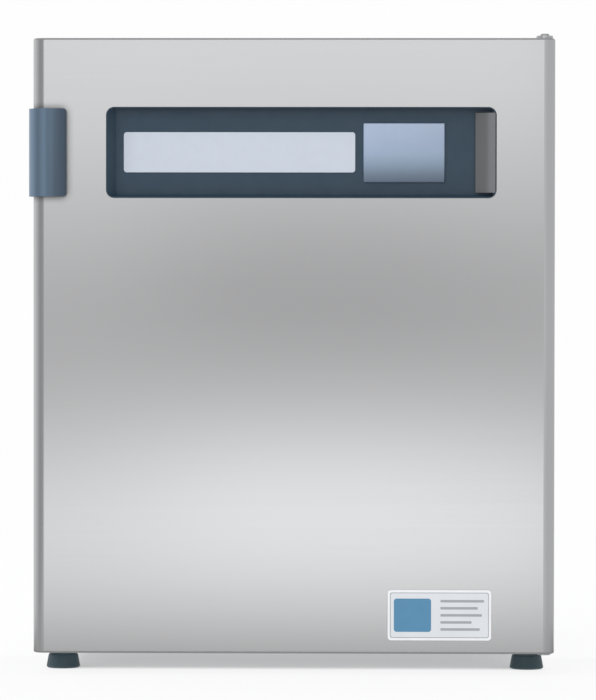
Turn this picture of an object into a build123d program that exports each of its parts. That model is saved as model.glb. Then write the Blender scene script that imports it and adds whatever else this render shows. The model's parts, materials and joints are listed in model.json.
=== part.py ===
"""Laboratory CO2 incubator, about 250 litres, as an assembly of separate parts.

The cabinet stands on four levelling feet. A thick insulated outer door and an inner glass door are
both hinged on the right. The stainless chamber holds three sliding shelves on side rails, a covered
water reservoir, a rear air duct and a ceiling fan with its filter.

Millimetres. +X is right, +Y is back, +Z is up; the origin is on the floor under the middle.
"""

import os
from math import atan2, degrees

from build123d import *

# ---------------------------------------------------------------- driving dimensions
WIDTH = 780.0  # cabinet and door
DEPTH = 834.0  # front of the handle to the back of the rear spacers
BODY_HEIGHT = 920.0  # cabinet without its feet
FOOT_HEIGHT = 32.0  # floor to the cabinet's underside
HANDLE_SIDE = 6.0  # the handle stands this far out of the door's left side
HANDLE_FRONT = 16.0  # and this far out of its front
REAR_PROUD = 18.0  # rear spacers
DOOR_DEPTH = 62.0
DOOR_GAP = 7.0  # between the door's back and the cabinet's front
DOOR_BEND = 17.0  # radius of the door's upright front edges
SHEET = 1.5  # outer sheet metal

CHAMBER_WIDTH = 607.0
CHAMBER_HEIGHT = 670.0
CHAMBER_DEPTH = 629.0
CHAMBER_CORNER = 30.0
CHAMBER_WALL = 2.0
CHAMBER_FLOOR = FOOT_HEIGHT + 105.0

# ---------------------------------------------------------------- main planes
CENTRE_X = HANDLE_SIDE / 2  # the cabinet's middle; the box with the handle is centred on x = 0
HALF = WIDTH / 2
BASE_Z = FOOT_HEIGHT
TOP_Z = BASE_Z + BODY_HEIGHT
DOOR_TOP = TOP_Z - 1.0
DOOR_FRONT = -DEPTH / 2 + HANDLE_FRONT
DOOR_BACK = DOOR_FRONT + DOOR_DEPTH
CAB_FRONT = DOOR_BACK + DOOR_GAP
CAB_BACK = DEPTH / 2 - REAR_PROUD
DOOR_HEIGHT = DOOR_TOP - BASE_Z
DOOR_MID_Z = (BASE_Z + DOOR_TOP) / 2
FRAME_DEPTH = 12.0
CHAMBER_FRONT = CAB_FRONT + FRAME_DEPTH + 0.2
CHAMBER_BACK = CHAMBER_FRONT + CHAMBER_DEPTH
CHAMBER_MID_Z = CHAMBER_FLOOR + CHAMBER_HEIGHT / 2
CHAMBER_TOP = CHAMBER_FLOOR + CHAMBER_HEIGHT
CHAMBER_HALF = CHAMBER_WIDTH / 2

# hinge axes, measured from the cabinet's middle and the shared frame's Y
DOOR_AXIS_X = HALF - 15.0
DOOR_AXIS_Y = DOOR_FRONT + 30.0
GLASS_AXIS_X = 322.0
GLASS_AXIS_Y = CAB_FRONT - 11.0


def front(y):
    """Upright plane at depth y: local x is right, local y is up, and extrude goes forward."""
    return Plane(origin=(CENTRE_X, y, 0), x_dir=(1, 0, 0), z_dir=(0, -1, 0))


def back(y):
    """Upright plane at depth y facing backward: local x is LEFT, local y is up, extrude goes back."""
    return Plane(origin=(CENTRE_X, y, 0), x_dir=(-1, 0, 0), z_dir=(0, 1, 0))


def level(z):
    """Horizontal plane at height z: local x is right, local y is back, extrude goes up."""
    return Plane(origin=(CENTRE_X, 0, z))


def side(x):
    """Upright plane at x: local x is back, local y is up, and extrude goes right."""
    return Plane(origin=(CENTRE_X + x, 0, 0), x_dir=(0, 1, 0), z_dir=(1, 0, 0))


def write(builder, label):
    """Labels a finished part and writes it as one STEP file."""
    builder.part.label = label
    export_step(builder.part, f"parts/{label}.step")


os.makedirs("parts", exist_ok=True)

# ================================================================ cabinet shell
FOOT_X = HALF - 37.5
FOOT_INSET_Y = 44.0
FOOT_SPOTS = {
    "front_left": (-FOOT_X, CAB_FRONT + FOOT_INSET_Y),
    "front_right": (FOOT_X, CAB_FRONT + FOOT_INSET_Y),
    "rear_left": (-FOOT_X, CAB_BACK - FOOT_INSET_Y),
    "rear_right": (FOOT_X, CAB_BACK - FOOT_INSET_Y),
}
STUD_R = 6.0
STUD_FIT = 0.08
BUSH_R = 11.0
TRAY_HEIGHT = 20.0
TRAY_WALL = 2.0
REVEAL = 1.0  # shadow gap between neighbouring panels
SHELL_CORNER = 6.0
SHELL_EDGE = 3.0
CUT = 2.0  # cutting shapes run this far past the surface they open
CAB_MID_Y = (CAB_FRONT + CAB_BACK) / 2
CAB_DEPTH = CAB_BACK - CAB_FRONT

with BuildPart() as base_pan:
    with BuildSketch(level(BASE_Z)):
        with Locations((0, CAB_MID_Y)):
            RectangleRounded(WIDTH, CAB_DEPTH, SHELL_CORNER)
    extrude(amount=TRAY_HEIGHT)
    fillet(base_pan.faces().sort_by(Axis.Z)[0].edges(), SHELL_EDGE)
    offset(amount=-TRAY_WALL, openings=base_pan.faces().sort_by(Axis.Z)[-1])
    with BuildSketch(level(BASE_Z)):
        with Locations(*FOOT_SPOTS.values()):
            Circle(BUSH_R)
    extrude(amount=TRAY_WALL, mode=Mode.SUBTRACT)
write(base_pan, "base_pan")

BUSH_TOP = BASE_Z + 24.0
BUSH_FLANGE = 5.0  # thickness and overhang of the six-sided flange inside the pan
with BuildPart() as foot_bushes:
    with BuildSketch(level(BASE_Z)):
        with Locations(*FOOT_SPOTS.values()):
            Circle(BUSH_R)
    extrude(amount=BUSH_TOP - BASE_Z)
    with BuildSketch(level(BASE_Z + TRAY_WALL)):
        with Locations(*FOOT_SPOTS.values()):
            RegularPolygon(BUSH_R + BUSH_FLANGE, 6)
    extrude(amount=BUSH_FLANGE)
    with BuildSketch(level(BASE_Z)):
        with Locations(*FOOT_SPOTS.values()):
            Circle(STUD_R + STUD_FIT)
    extrude(amount=BUSH_TOP - BASE_Z, mode=Mode.SUBTRACT)
write(foot_bushes, "foot_bushes")

LID_HEIGHT = 14.0
with BuildPart() as top_panel:
    with BuildSketch(level(TOP_Z)):
        with Locations((0, CAB_MID_Y)):
            RectangleRounded(WIDTH, CAB_DEPTH, SHELL_CORNER)
    extrude(amount=-LID_HEIGHT)
    fillet(top_panel.faces().sort_by(Axis.Z)[-1].edges(), SHELL_EDGE)
    with BuildSketch(level(TOP_Z - LID_HEIGHT)):
        with Locations((0, CAB_MID_Y)):
            RectangleRounded(WIDTH - 2 * SHEET, CAB_DEPTH - 2 * SHEET, SHELL_CORNER - SHEET)
    extrude(amount=LID_HEIGHT - SHEET, mode=Mode.SUBTRACT)
write(top_panel, "top_panel")

PANEL_BOTTOM = BASE_Z + TRAY_HEIGHT + REVEAL
PANEL_TOP = TOP_Z - LID_HEIGHT - REVEAL
PANEL_HEIGHT = PANEL_TOP - PANEL_BOTTOM
RETURN = 24.0  # the side sheet turns in by this much at the back
REAR_SHEET_FRONT = CAB_BACK - SHEET
RETURN_Y = REAR_SHEET_FRONT - 0.1
PANEL_FRONT = CAB_FRONT + 0.5
FOLD_R = 1.2


def side_panel(sign):
    """One side sheet, folded inward at the back, as an extruded L."""
    with BuildPart() as panel:
        with BuildSketch(level(PANEL_BOTTOM)):
            with BuildLine():
                Polyline(
                    (sign * HALF, PANEL_FRONT),
                    (sign * HALF, RETURN_Y),
                    (sign * (HALF - RETURN), RETURN_Y),
                    (sign * (HALF - RETURN), RETURN_Y - SHEET),
                    (sign * (HALF - SHEET), RETURN_Y - SHEET),
                    (sign * (HALF - SHEET), PANEL_FRONT),
                    close=True,
                )
            make_face()
        extrude(amount=PANEL_HEIGHT)
        corner = panel.edges().filter_by(Axis.Z).group_by(Axis.Y)[-1]
        outer = corner.sort_by(Axis.X)[-1 if sign > 0 else 0]
        fillet(outer, FOLD_R)
    return panel


write(side_panel(-1), "left_side_panel")
write(side_panel(1), "right_side_panel")

FRAME_FIT = 0.3
FRAME_CORNER = 4.0
FRAME_EDGE = 1.5
with BuildPart() as front_frame:
    with BuildSketch(front(CAB_FRONT)):
        with Locations((0, (PANEL_BOTTOM + PANEL_TOP) / 2)):
            RectangleRounded(WIDTH - 2 * (SHEET + FRAME_FIT), PANEL_HEIGHT, FRAME_CORNER)
        with Locations((0, CHAMBER_MID_Z)):
            RectangleRounded(CHAMBER_WIDTH, CHAMBER_HEIGHT, CHAMBER_CORNER, mode=Mode.SUBTRACT)
    extrude(amount=-FRAME_DEPTH)
    rim = front_frame.edges().group_by(Axis.Y)[0]
    fillet(rim, FRAME_EDGE)
write(front_frame, "front_frame")

# ================================================================ chamber
PORT_R = 21.0  # access port for probes and cables
PORT_WALL = 3.0
PORT_SPOT = (-190.0, CHAMBER_FLOOR + 500.0)
FAN_SPOT = (0.0, CHAMBER_BACK - 150.0)
SHAFT_R = 4.0
SENSOR_SPOT = (-215.0, CHAMBER_BACK - 190.0)
PROBE_PITCH = 50.0
PROBE_R = 6.0
SHAFT_ROOM = 3.0
LINER_FLANGE = 20.0

with BuildPart() as chamber_liner:
    with BuildSketch(front(CHAMBER_FRONT)):
        with Locations((0, CHAMBER_MID_Z)):
            RectangleRounded(
                CHAMBER_WIDTH + 2 * CHAMBER_WALL,
                CHAMBER_HEIGHT + 2 * CHAMBER_WALL,
                CHAMBER_CORNER + CHAMBER_WALL,
            )
    extrude(amount=-(CHAMBER_DEPTH + CHAMBER_WALL))
    fillet(chamber_liner.faces().sort_by(Axis.Y)[-1].edges(), CHAMBER_CORNER)
    offset(amount=-CHAMBER_WALL, openings=chamber_liner.faces().sort_by(Axis.Y)[0])
    with BuildSketch(front(CHAMBER_FRONT)):
        with Locations((0, CHAMBER_MID_Z)):
            RectangleRounded(
                CHAMBER_WIDTH + 2 * LINER_FLANGE,
                CHAMBER_HEIGHT + 2 * LINER_FLANGE,
                CHAMBER_CORNER + LINER_FLANGE,
            )
            RectangleRounded(CHAMBER_WIDTH, CHAMBER_HEIGHT, CHAMBER_CORNER, mode=Mode.SUBTRACT)
    extrude(amount=-CHAMBER_WALL)
    with BuildSketch(front(CHAMBER_BACK - CUT)):
        with Locations(PORT_SPOT):
            Circle(PORT_R)
    extrude(amount=-(CHAMBER_WALL + 2 * CUT), mode=Mode.SUBTRACT)
    with BuildSketch(level(CHAMBER_TOP - CUT)):
        with Locations(FAN_SPOT):
            Circle(SHAFT_R + SHAFT_ROOM)
    extrude(amount=CHAMBER_WALL + 2 * CUT, mode=Mode.SUBTRACT)
write(chamber_liner, "chamber_liner")

# the four slotted uprights that carry the shelf rails
UPRIGHT_DEPTH = 10.0
UPRIGHT_WIDTH = 24.0
UPRIGHT_BOTTOM = CHAMBER_FLOOR + 46.0
UPRIGHT_HEIGHT = 540.0
UPRIGHT_YS = (CHAMBER_FRONT + 78.0, CHAMBER_FRONT + 450.0)
SLOT_PITCH = 42.0
SLOT_COUNT = 12
SLOT_SIZE = (12.0, 6.0)
RAIL_WALL = 1.5
UPRIGHT_GAP = 0.3  # between an upright and the chamber's wall


def uprights(sign):
    """Front and rear upright of one chamber side: channels with a ladder of slots."""
    with BuildPart() as pair:
        for y in UPRIGHT_YS:
            middle = sign * (CHAMBER_HALF - UPRIGHT_GAP - UPRIGHT_DEPTH / 2)
            with BuildSketch(level(UPRIGHT_BOTTOM)):
                with Locations((middle, y)):
                    Rectangle(UPRIGHT_DEPTH, UPRIGHT_WIDTH)
                with Locations((middle + sign * RAIL_WALL, y)):
                    Rectangle(UPRIGHT_DEPTH, UPRIGHT_WIDTH - 2 * RAIL_WALL, mode=Mode.SUBTRACT)
            extrude(amount=UPRIGHT_HEIGHT)
            with BuildSketch(side(sign * (CHAMBER_HALF - UPRIGHT_DEPTH - CUT))):
                with Locations((y, UPRIGHT_BOTTOM + UPRIGHT_HEIGHT / 2)):
                    with GridLocations(0, SLOT_PITCH, 1, SLOT_COUNT):
                        Rectangle(*SLOT_SIZE)
            extrude(amount=sign * 2 * CUT, mode=Mode.SUBTRACT)
    return pair


write(uprights(-1), "shelf_uprights_left")
write(uprights(1), "shelf_uprights_right")

SHELF_DEPTH = 500.0
SHELF_FRONT = CAB_FRONT + 32.0
SHELF_BACK = SHELF_FRONT + SHELF_DEPTH
SHELF_HALF = 286.0
SHELF_SHEET = 1.5
SHELF_LIP = 14.0
SHELF_FIT = 0.4
STOP_INSET = 20.0  # each end of the rear stop falls this far short of the shelf's side
SHELF_BEND = 1.0
RAIL_FACE = CHAMBER_HALF - UPRIGHT_GAP - UPRIGHT_DEPTH - 0.1  # the rail's web lies on the uprights
RAIL_TOP_Z = [CHAMBER_FLOOR + h for h in (160.0, 310.0, 460.0)]
RAIL_HEIGHT = 18.0
RAIL_LEDGE = 16.0
RAIL_DROP = 3.0  # the web starts this far below the ledge
RAIL_FRONT = SHELF_FRONT + 8.0
RAIL_BACK = SHELF_BACK - 6.0


def rail_pair(ledge_z):
    """Left and right angle rails whose ledges carry one shelf."""
    with BuildPart() as pair:
        for sign in (-1, 1):
            with BuildSketch(front(RAIL_FRONT)):
                with BuildLine():
                    Polyline(
                        (sign * RAIL_FACE, ledge_z - RAIL_DROP),
                        (sign * RAIL_FACE, ledge_z - RAIL_DROP + RAIL_HEIGHT),
                        (sign * (RAIL_FACE - RAIL_WALL), ledge_z - RAIL_DROP + RAIL_HEIGHT),
                        (sign * (RAIL_FACE - RAIL_WALL), ledge_z),
                        (sign * (RAIL_FACE - RAIL_LEDGE), ledge_z),
                        (sign * (RAIL_FACE - RAIL_LEDGE), ledge_z - RAIL_WALL),
                        (sign * (RAIL_FACE - RAIL_WALL), ledge_z - RAIL_WALL),
                        (sign * (RAIL_FACE - RAIL_WALL), ledge_z - RAIL_DROP),
                        close=True,
                    )
                make_face()
            extrude(amount=-(RAIL_BACK - RAIL_FRONT))
    return pair


HOLE_COLUMNS = 9
HOLE_ROWS = 7
HOLE_PITCH_X = 56.0
HOLE_PITCH_Y = 58.0
HOLE_R = 7.0


def shelf(ledge_z):
    """A perforated sheet with a lip turned down at the front and a stop turned up at the back."""
    underside = ledge_z + SHELF_FIT
    with BuildPart() as plate:
        with BuildSketch(level(underside)):
            with Locations((0, (SHELF_FRONT + SHELF_BACK) / 2)):
                Rectangle(2 * SHELF_HALF, SHELF_DEPTH)
                with GridLocations(HOLE_PITCH_X, HOLE_PITCH_Y, HOLE_COLUMNS, HOLE_ROWS):
                    Circle(HOLE_R, mode=Mode.SUBTRACT)
        extrude(amount=SHELF_SHEET)
        with BuildSketch(front(SHELF_FRONT)):
            with Locations((0, underside + SHELF_SHEET - SHELF_LIP / 2)):
                Rectangle(2 * SHELF_HALF, SHELF_LIP)
        extrude(amount=-SHELF_SHEET)
        with BuildSketch(front(SHELF_BACK - SHELF_SHEET)):
            with Locations((0, underside + SHELF_LIP / 2)):
                Rectangle(2 * (SHELF_HALF - STOP_INSET), SHELF_LIP)
        extrude(amount=-SHELF_SHEET)
        front_edge = plate.edges().filter_by(Axis.X).group_by(Axis.Z)[-2].group_by(Axis.Y)[0]
        fillet(front_edge, SHELF_BEND)
    return plate


for number, ledge in enumerate(RAIL_TOP_Z, start=1):
    write(rail_pair(ledge), f"shelf_rails_{number}")
    write(shelf(ledge), f"shelf_{number}")

# water reservoir cover: a low false floor with a finger hole and a row of vapour slots
COVER_Z = CHAMBER_FLOOR + 36.0
COVER_FRONT = CHAMBER_FRONT + 16.0
COVER_BACK = CHAMBER_BACK - 60.0
COVER_HALF = CHAMBER_HALF - 2.5
COVER_SHEET = 2.0
COVER_APRON = 31.0  # height of the panel that closes the reservoir's front
COVER_APRON_INSET = 26.0
COVER_APRON_MID = 14.0
FINGER_HOLE = (70.0, 24.0)
FINGER_HOLE_BACK = 42.0
VAPOUR_SLOT = (44.0, 10.0)
VAPOUR_SLOT_PITCH = 64.0
VAPOUR_SLOTS = 8
VAPOUR_SLOT_FRONT = 34.0
with BuildPart() as reservoir_cover:
    with BuildSketch(level(COVER_Z)):
        with Locations((0, (COVER_FRONT + COVER_BACK) / 2)):
            Rectangle(2 * COVER_HALF, COVER_BACK - COVER_FRONT)
        with Locations((0, COVER_FRONT + FINGER_HOLE_BACK)):
            SlotOverall(*FINGER_HOLE, mode=Mode.SUBTRACT)
        with Locations((0, COVER_BACK - VAPOUR_SLOT_FRONT)):
            with GridLocations(VAPOUR_SLOT_PITCH, 0, VAPOUR_SLOTS, 1):
                SlotOverall(*VAPOUR_SLOT, mode=Mode.SUBTRACT)
    extrude(amount=COVER_SHEET)
    with BuildSketch(front(COVER_FRONT)):
        with Locations((0, COVER_Z - COVER_APRON_MID)):
            RectangleRounded(2 * (COVER_HALF - COVER_APRON_INSET), COVER_APRON, 3)
    extrude(amount=-COVER_SHEET)
write(reservoir_cover, "reservoir_cover")

DUCT_HALF = 150.0
DUCT_FRONT = CHAMBER_BACK - 40.0
DUCT_BOTTOM = COVER_Z + 12.0
DUCT_TOP = CHAMBER_TOP - 112.0
DUCT_EDGE = 10.0
DUCT_SLOT = (60.0, 8.0)
DUCT_SLOT_PITCH = (90.0, 44.0)
DUCT_SLOT_GRID = (3, 8)
with BuildPart() as air_duct:
    with BuildSketch(front(DUCT_FRONT)):
        with Locations((0, (DUCT_BOTTOM + DUCT_TOP) / 2)):
            Rectangle(2 * DUCT_HALF, DUCT_TOP - DUCT_BOTTOM)
    extrude(amount=-(CHAMBER_BACK - 0.5 - DUCT_FRONT))
    fillet(air_duct.faces().sort_by(Axis.Y)[0].edges().filter_by(Axis.Z), DUCT_EDGE)
    offset(amount=-SHEET, openings=air_duct.faces().sort_by(Axis.Y)[-1])
    with BuildSketch(front(DUCT_FRONT - CUT)):
        with Locations((0, (DUCT_BOTTOM + DUCT_TOP) / 2)):
            with GridLocations(*DUCT_SLOT_PITCH, *DUCT_SLOT_GRID):
                SlotOverall(*DUCT_SLOT)
    extrude(amount=-(SHEET + 2 * CUT), mode=Mode.SUBTRACT)
write(air_duct, "air_duct")

# ceiling fan: shroud, motor above the ceiling, turning wheel, filter below
SHROUD_HEIGHT = 60.0
SHROUD_SIZE = (264.0, 232.0)
SHROUD_CORNER = 24.0
SHROUD_EDGE = 5.0
OUTLET_SIZE = (190.0, 30.0)  # the shroud's opening to the rear duct
OUTLET_DROP = 28.0
INTAKE_R = 62.0
WHEEL_R = 82.0
with BuildPart() as fan_shroud:
    with BuildSketch(level(CHAMBER_TOP - 0.2)):
        with Locations(FAN_SPOT):
            RectangleRounded(*SHROUD_SIZE, SHROUD_CORNER)
    extrude(amount=-SHROUD_HEIGHT)
    fillet(fan_shroud.faces().sort_by(Axis.Z)[0].edges(), SHROUD_EDGE)
    offset(amount=-SHEET, openings=fan_shroud.faces().sort_by(Axis.Z)[-1])
    with BuildSketch(level(CHAMBER_TOP - SHROUD_HEIGHT - CUT)):
        with Locations(FAN_SPOT):
            Circle(INTAKE_R)
    extrude(amount=3 * CUT, mode=Mode.SUBTRACT)
    with BuildSketch(front(FAN_SPOT[1] + SHROUD_SIZE[1] / 2 - 2 * CUT)):
        with Locations((0, CHAMBER_TOP - OUTLET_DROP)):
            RectangleRounded(*OUTLET_SIZE, 6)
    extrude(amount=-4 * CUT, mode=Mode.SUBTRACT)
write(fan_shroud, "fan_shroud")

MOTOR_BOTTOM = CHAMBER_TOP + CHAMBER_WALL + 0.3
MOTOR_HEIGHT = 52.0
MOTOR_R = 36.0
MOTOR_FLANGE_R = 46.0
MOTOR_FLANGE = 6.0
SHAFT_TOP = MOTOR_BOTTOM + 30.0
SHAFT_FIT = 0.05
with BuildPart() as fan_motor:
    with BuildSketch(level(MOTOR_BOTTOM)):
        with Locations(FAN_SPOT):
            Circle(MOTOR_FLANGE_R)
    extrude(amount=MOTOR_FLANGE)
    with BuildSketch(level(MOTOR_BOTTOM + MOTOR_FLANGE)):
        with Locations(FAN_SPOT):
            Circle(MOTOR_R)
    extrude(amount=MOTOR_HEIGHT - MOTOR_FLANGE)
    fillet(fan_motor.faces().sort_by(Axis.Z)[-1].edges(), 4)
    with BuildSketch(level(MOTOR_BOTTOM)):
        with Locations(FAN_SPOT):
            Circle(SHAFT_R + SHAFT_FIT)
    extrude(amount=SHAFT_TOP + CUT - MOTOR_BOTTOM, mode=Mode.SUBTRACT)
write(fan_motor, "fan_motor")

WHEEL_TOP = CHAMBER_TOP - 12.0
WHEEL_BOTTOM = WHEEL_TOP - 36.0
WHEEL_PLATE = 2.5
BLADES = 18
BLADE_LEAN = 38.0
BLADE_SIZE = (24.0, 2.0)
BLADE_RING_R = 71.0
HUB_R = 16.0
HUB_HEIGHT = 24.0
SHAFT_ROOT = 20.0  # how far down inside the hub the shaft starts
with BuildPart() as fan_wheel:
    with BuildSketch(level(WHEEL_TOP)):
        with Locations(FAN_SPOT):
            Circle(WHEEL_R)
    extrude(amount=-WHEEL_PLATE)
    with BuildSketch(level(WHEEL_BOTTOM)):
        with Locations(FAN_SPOT):
            Circle(WHEEL_R)
            Circle(INTAKE_R - 2, mode=Mode.SUBTRACT)
    extrude(amount=WHEEL_PLATE)
    with BuildSketch(level(WHEEL_BOTTOM + 1)):
        with Locations(FAN_SPOT):
            with PolarLocations(BLADE_RING_R, BLADES):
                Rectangle(*BLADE_SIZE, rotation=BLADE_LEAN)
    extrude(amount=WHEEL_TOP - WHEEL_BOTTOM - 2)
    with BuildSketch(level(WHEEL_TOP)):
        with Locations(FAN_SPOT):
            Circle(HUB_R)
    extrude(amount=-HUB_HEIGHT)
    with BuildSketch(level(WHEEL_TOP - SHAFT_ROOT)):
        with Locations(FAN_SPOT):
            Circle(SHAFT_R)
    extrude(amount=SHAFT_TOP - WHEEL_TOP + SHAFT_ROOT)
write(fan_wheel, "fan_wheel")

FILTER_TOP = CHAMBER_TOP - 0.2 - SHROUD_HEIGHT - 0.2
FILTER_HEIGHT = 44.0
FILTER_R = 92.0
FILTER_CAP = 5.0
PLEATS = 40
PLEAT_SIZE = (10.0, 3.4)
PLEAT_INSET = 6.0
with BuildPart() as hepa_filter:
    with BuildSketch(level(FILTER_TOP)):
        with Locations(FAN_SPOT):
            Circle(FILTER_R)
            Circle(INTAKE_R, mode=Mode.SUBTRACT)
    extrude(amount=-FILTER_CAP)
    with BuildSketch(level(FILTER_TOP - FILTER_CAP + 1)):
        with Locations(FAN_SPOT):
            Circle(FILTER_R - PLEAT_INSET)
            Circle(INTAKE_R, mode=Mode.SUBTRACT)
            with PolarLocations(FILTER_R - PLEAT_INSET, PLEATS):
                Rectangle(*PLEAT_SIZE, mode=Mode.SUBTRACT)
    extrude(amount=-(FILTER_HEIGHT - 2 * (FILTER_CAP - 1)))
    with BuildSketch(level(FILTER_TOP - FILTER_HEIGHT)):
        with Locations(FAN_SPOT):
            Circle(FILTER_R)
    extrude(amount=FILTER_CAP)
    fillet(hepa_filter.faces().sort_by(Axis.Z)[0].edges(), 2)
write(hepa_filter, "hepa_filter")

SENSOR_SIZE = (84.0, 46.0)
SENSOR_HEIGHT = 16.0
SENSOR_EDGE = 3.0
PROBE_LENGTH = 48.0
with BuildPart() as sensor_module:
    with BuildSketch(level(CHAMBER_TOP - 0.2)):
        with Locations(SENSOR_SPOT):
            RectangleRounded(*SENSOR_SIZE, 8)
    extrude(amount=-SENSOR_HEIGHT)
    fillet(sensor_module.faces().sort_by(Axis.Z)[0].edges(), SENSOR_EDGE)
    with BuildSketch(level(CHAMBER_TOP - SENSOR_HEIGHT + 1)):
        with Locations(SENSOR_SPOT):
            with GridLocations(PROBE_PITCH, 0, 2, 1):
                Circle(PROBE_R)
    extrude(amount=-PROBE_LENGTH)
    fillet(sensor_module.faces().sort_by(Axis.Z)[0].edges(), SENSOR_EDGE)
write(sensor_module, "sensor_module")

# ================================================================ access port through the back
PORT_FLANGE = 3.0
PORT_FLANGE_R = PORT_R + 11.0
PORT_BACK = CAB_BACK + PORT_FLANGE
PORT_X = -PORT_SPOT[0]  # as seen from behind
TUBE_FRONT = CHAMBER_BACK + CHAMBER_WALL + 0.2
with BuildPart() as access_port_tube:
    with BuildSketch(back(TUBE_FRONT)):
        with Locations((PORT_X, PORT_SPOT[1])):
            Circle(PORT_R + PORT_WALL)
    extrude(amount=PORT_BACK - TUBE_FRONT)
    with BuildSketch(back(CAB_BACK)):
        with Locations((PORT_X, PORT_SPOT[1])):
            Circle(PORT_FLANGE_R)
    extrude(amount=PORT_FLANGE)
    fillet(access_port_tube.faces().sort_by(Axis.Y)[-1].edges().sort_by(SortBy.RADIUS)[-1], 1)
    with BuildSketch(back(CHAMBER_BACK)):
        with Locations((PORT_X, PORT_SPOT[1])):
            Circle(PORT_R)
    extrude(amount=PORT_BACK - CHAMBER_BACK + 1, mode=Mode.SUBTRACT)
write(access_port_tube, "access_port_tube")

STOPPER_FIT = 0.4
STOPPER_LENGTH = 40.0
STOPPER_GAP = 0.3
STOPPER_HEAD_R = PORT_R + 6.0
STOPPER_HEAD = 12.0
with BuildPart() as port_stopper:
    with BuildSketch(back(PORT_BACK - STOPPER_LENGTH)):
        with Locations((PORT_X, PORT_SPOT[1])):
            Circle(PORT_R - STOPPER_FIT)
    extrude(amount=STOPPER_LENGTH + STOPPER_GAP)
    with BuildSketch(back(PORT_BACK + STOPPER_GAP)):
        with Locations((PORT_X, PORT_SPOT[1])):
            Circle(STOPPER_HEAD_R)
    extrude(amount=STOPPER_HEAD)
    fillet(port_stopper.faces().sort_by(Axis.Y)[-1].edges(), 3)
    chamfer(port_stopper.faces().sort_by(Axis.Y)[0].edges(), 1.5)
write(port_stopper, "port_stopper")

# ================================================================ cabinet insulation
INSULATION_BACK = CAB_BACK - 62.0
INSULATION_FRONT = CHAMBER_FRONT + CHAMBER_WALL + 0.5
INSULATION_GAP = 0.5  # between the foam and the chamber
BUSH_ROOM = 10.0
with BuildPart() as cabinet_insulation:
    with BuildSketch(front(INSULATION_FRONT)):
        with Locations((0, (BASE_Z + TOP_Z) / 2)):
            Rectangle(WIDTH - 2 * SHEET - 3, BODY_HEIGHT - 10)
    extrude(amount=-(INSULATION_BACK - INSULATION_FRONT))
    with BuildSketch(front(CHAMBER_FRONT)):
        with Locations((0, CHAMBER_MID_Z)):
            RectangleRounded(
                CHAMBER_WIDTH + 2 * (CHAMBER_WALL + INSULATION_GAP),
                CHAMBER_HEIGHT + 2 * (CHAMBER_WALL + INSULATION_GAP),
                CHAMBER_CORNER,
            )
    extrude(amount=-(CHAMBER_DEPTH + CHAMBER_WALL + INSULATION_GAP), mode=Mode.SUBTRACT)
    with BuildSketch(level(BASE_Z)):
        with Locations(*FOOT_SPOTS.values()):
            Circle(BUSH_R + BUSH_ROOM)
    extrude(amount=60, mode=Mode.SUBTRACT)
    with BuildSketch(level(CHAMBER_TOP)):
        with Locations(FAN_SPOT):
            Circle(MOTOR_FLANGE_R + 2)
    extrude(amount=70, mode=Mode.SUBTRACT)
    with BuildSketch(front(CHAMBER_BACK)):
        with Locations(PORT_SPOT):
            Circle(PORT_R + PORT_WALL + 1)
    extrude(amount=-100, mode=Mode.SUBTRACT)
write(cabinet_insulation, "cabinet_insulation")

# ================================================================ rear panel and its fittings
POWER_SPOT = (-255.0, BASE_Z + 110.0)  # x as seen from the front
POWER_SIZE = (58.0, 92.0)
SIGNAL_SPOT = (-140.0, BASE_Z + 110.0)
SIGNAL_SIZE = (96.0, 42.0)
GAS_SPOT = (270.0, BASE_Z + 130.0)
GAS_THREAD_R = 7.0
VENT_SPOT = (270.0, BASE_Z + 210.0)
VENT_THREAD_R = 6.0
BOARD_SPOT = (90.0, BASE_Z + 560.0)
BOARD_SIZE = (280.0, 200.0)
SCREW_SHANK_R = 2.0
SCREW_XS = (-372.0, 372.0)
SCREW_ZS = [PANEL_BOTTOM + 14.0 + i * (PANEL_HEIGHT - 28.0) / 4 for i in range(5)]
SCREW_SPOTS = [(x, z) for x in SCREW_XS for z in SCREW_ZS]
LOUVRE_ROWS = 7
LOUVRE_PITCH = 11.0
LOUVRE_SIZE = (180.0, 5.0)
LOUVRE_Z = BASE_Z + 760.0
FITTING_RIM = 4.0  # sockets overlap the edge of their opening by this much
THREAD_FIT = 0.2
SCREW_HEAD_R = 4.5
SCREW_HEAD = 2.4
SCREW_SOCKET_R = 1.9

with BuildPart() as rear_panel:
    with BuildSketch(front(REAR_SHEET_FRONT)):
        with Locations((0, (PANEL_BOTTOM + PANEL_TOP) / 2)):
            RectangleRounded(WIDTH - 2, PANEL_HEIGHT, 5)
        with Locations(PORT_SPOT):
            Circle(PORT_R + PORT_WALL + 0.3, mode=Mode.SUBTRACT)
        with Locations(POWER_SPOT):
            Rectangle(
                POWER_SIZE[0] - 2 * FITTING_RIM, POWER_SIZE[1] - 2 * FITTING_RIM, mode=Mode.SUBTRACT
            )
        with Locations(SIGNAL_SPOT):
            Rectangle(
                SIGNAL_SIZE[0] - 2 * FITTING_RIM, SIGNAL_SIZE[1] - 2 * FITTING_RIM, mode=Mode.SUBTRACT
            )
        with Locations(GAS_SPOT):
            Circle(GAS_THREAD_R + THREAD_FIT, mode=Mode.SUBTRACT)
        with Locations(VENT_SPOT):
            Circle(VENT_THREAD_R + THREAD_FIT, mode=Mode.SUBTRACT)
        with Locations(*SCREW_SPOTS):
            Circle(SCREW_SHANK_R + 0.3, mode=Mode.SUBTRACT)
        with Locations((BOARD_SPOT[0], LOUVRE_Z)):
            with GridLocations(0, LOUVRE_PITCH, 1, LOUVRE_ROWS):
                SlotOverall(*LOUVRE_SIZE, mode=Mode.SUBTRACT)
    extrude(amount=-SHEET)
write(rear_panel, "rear_panel")

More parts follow.
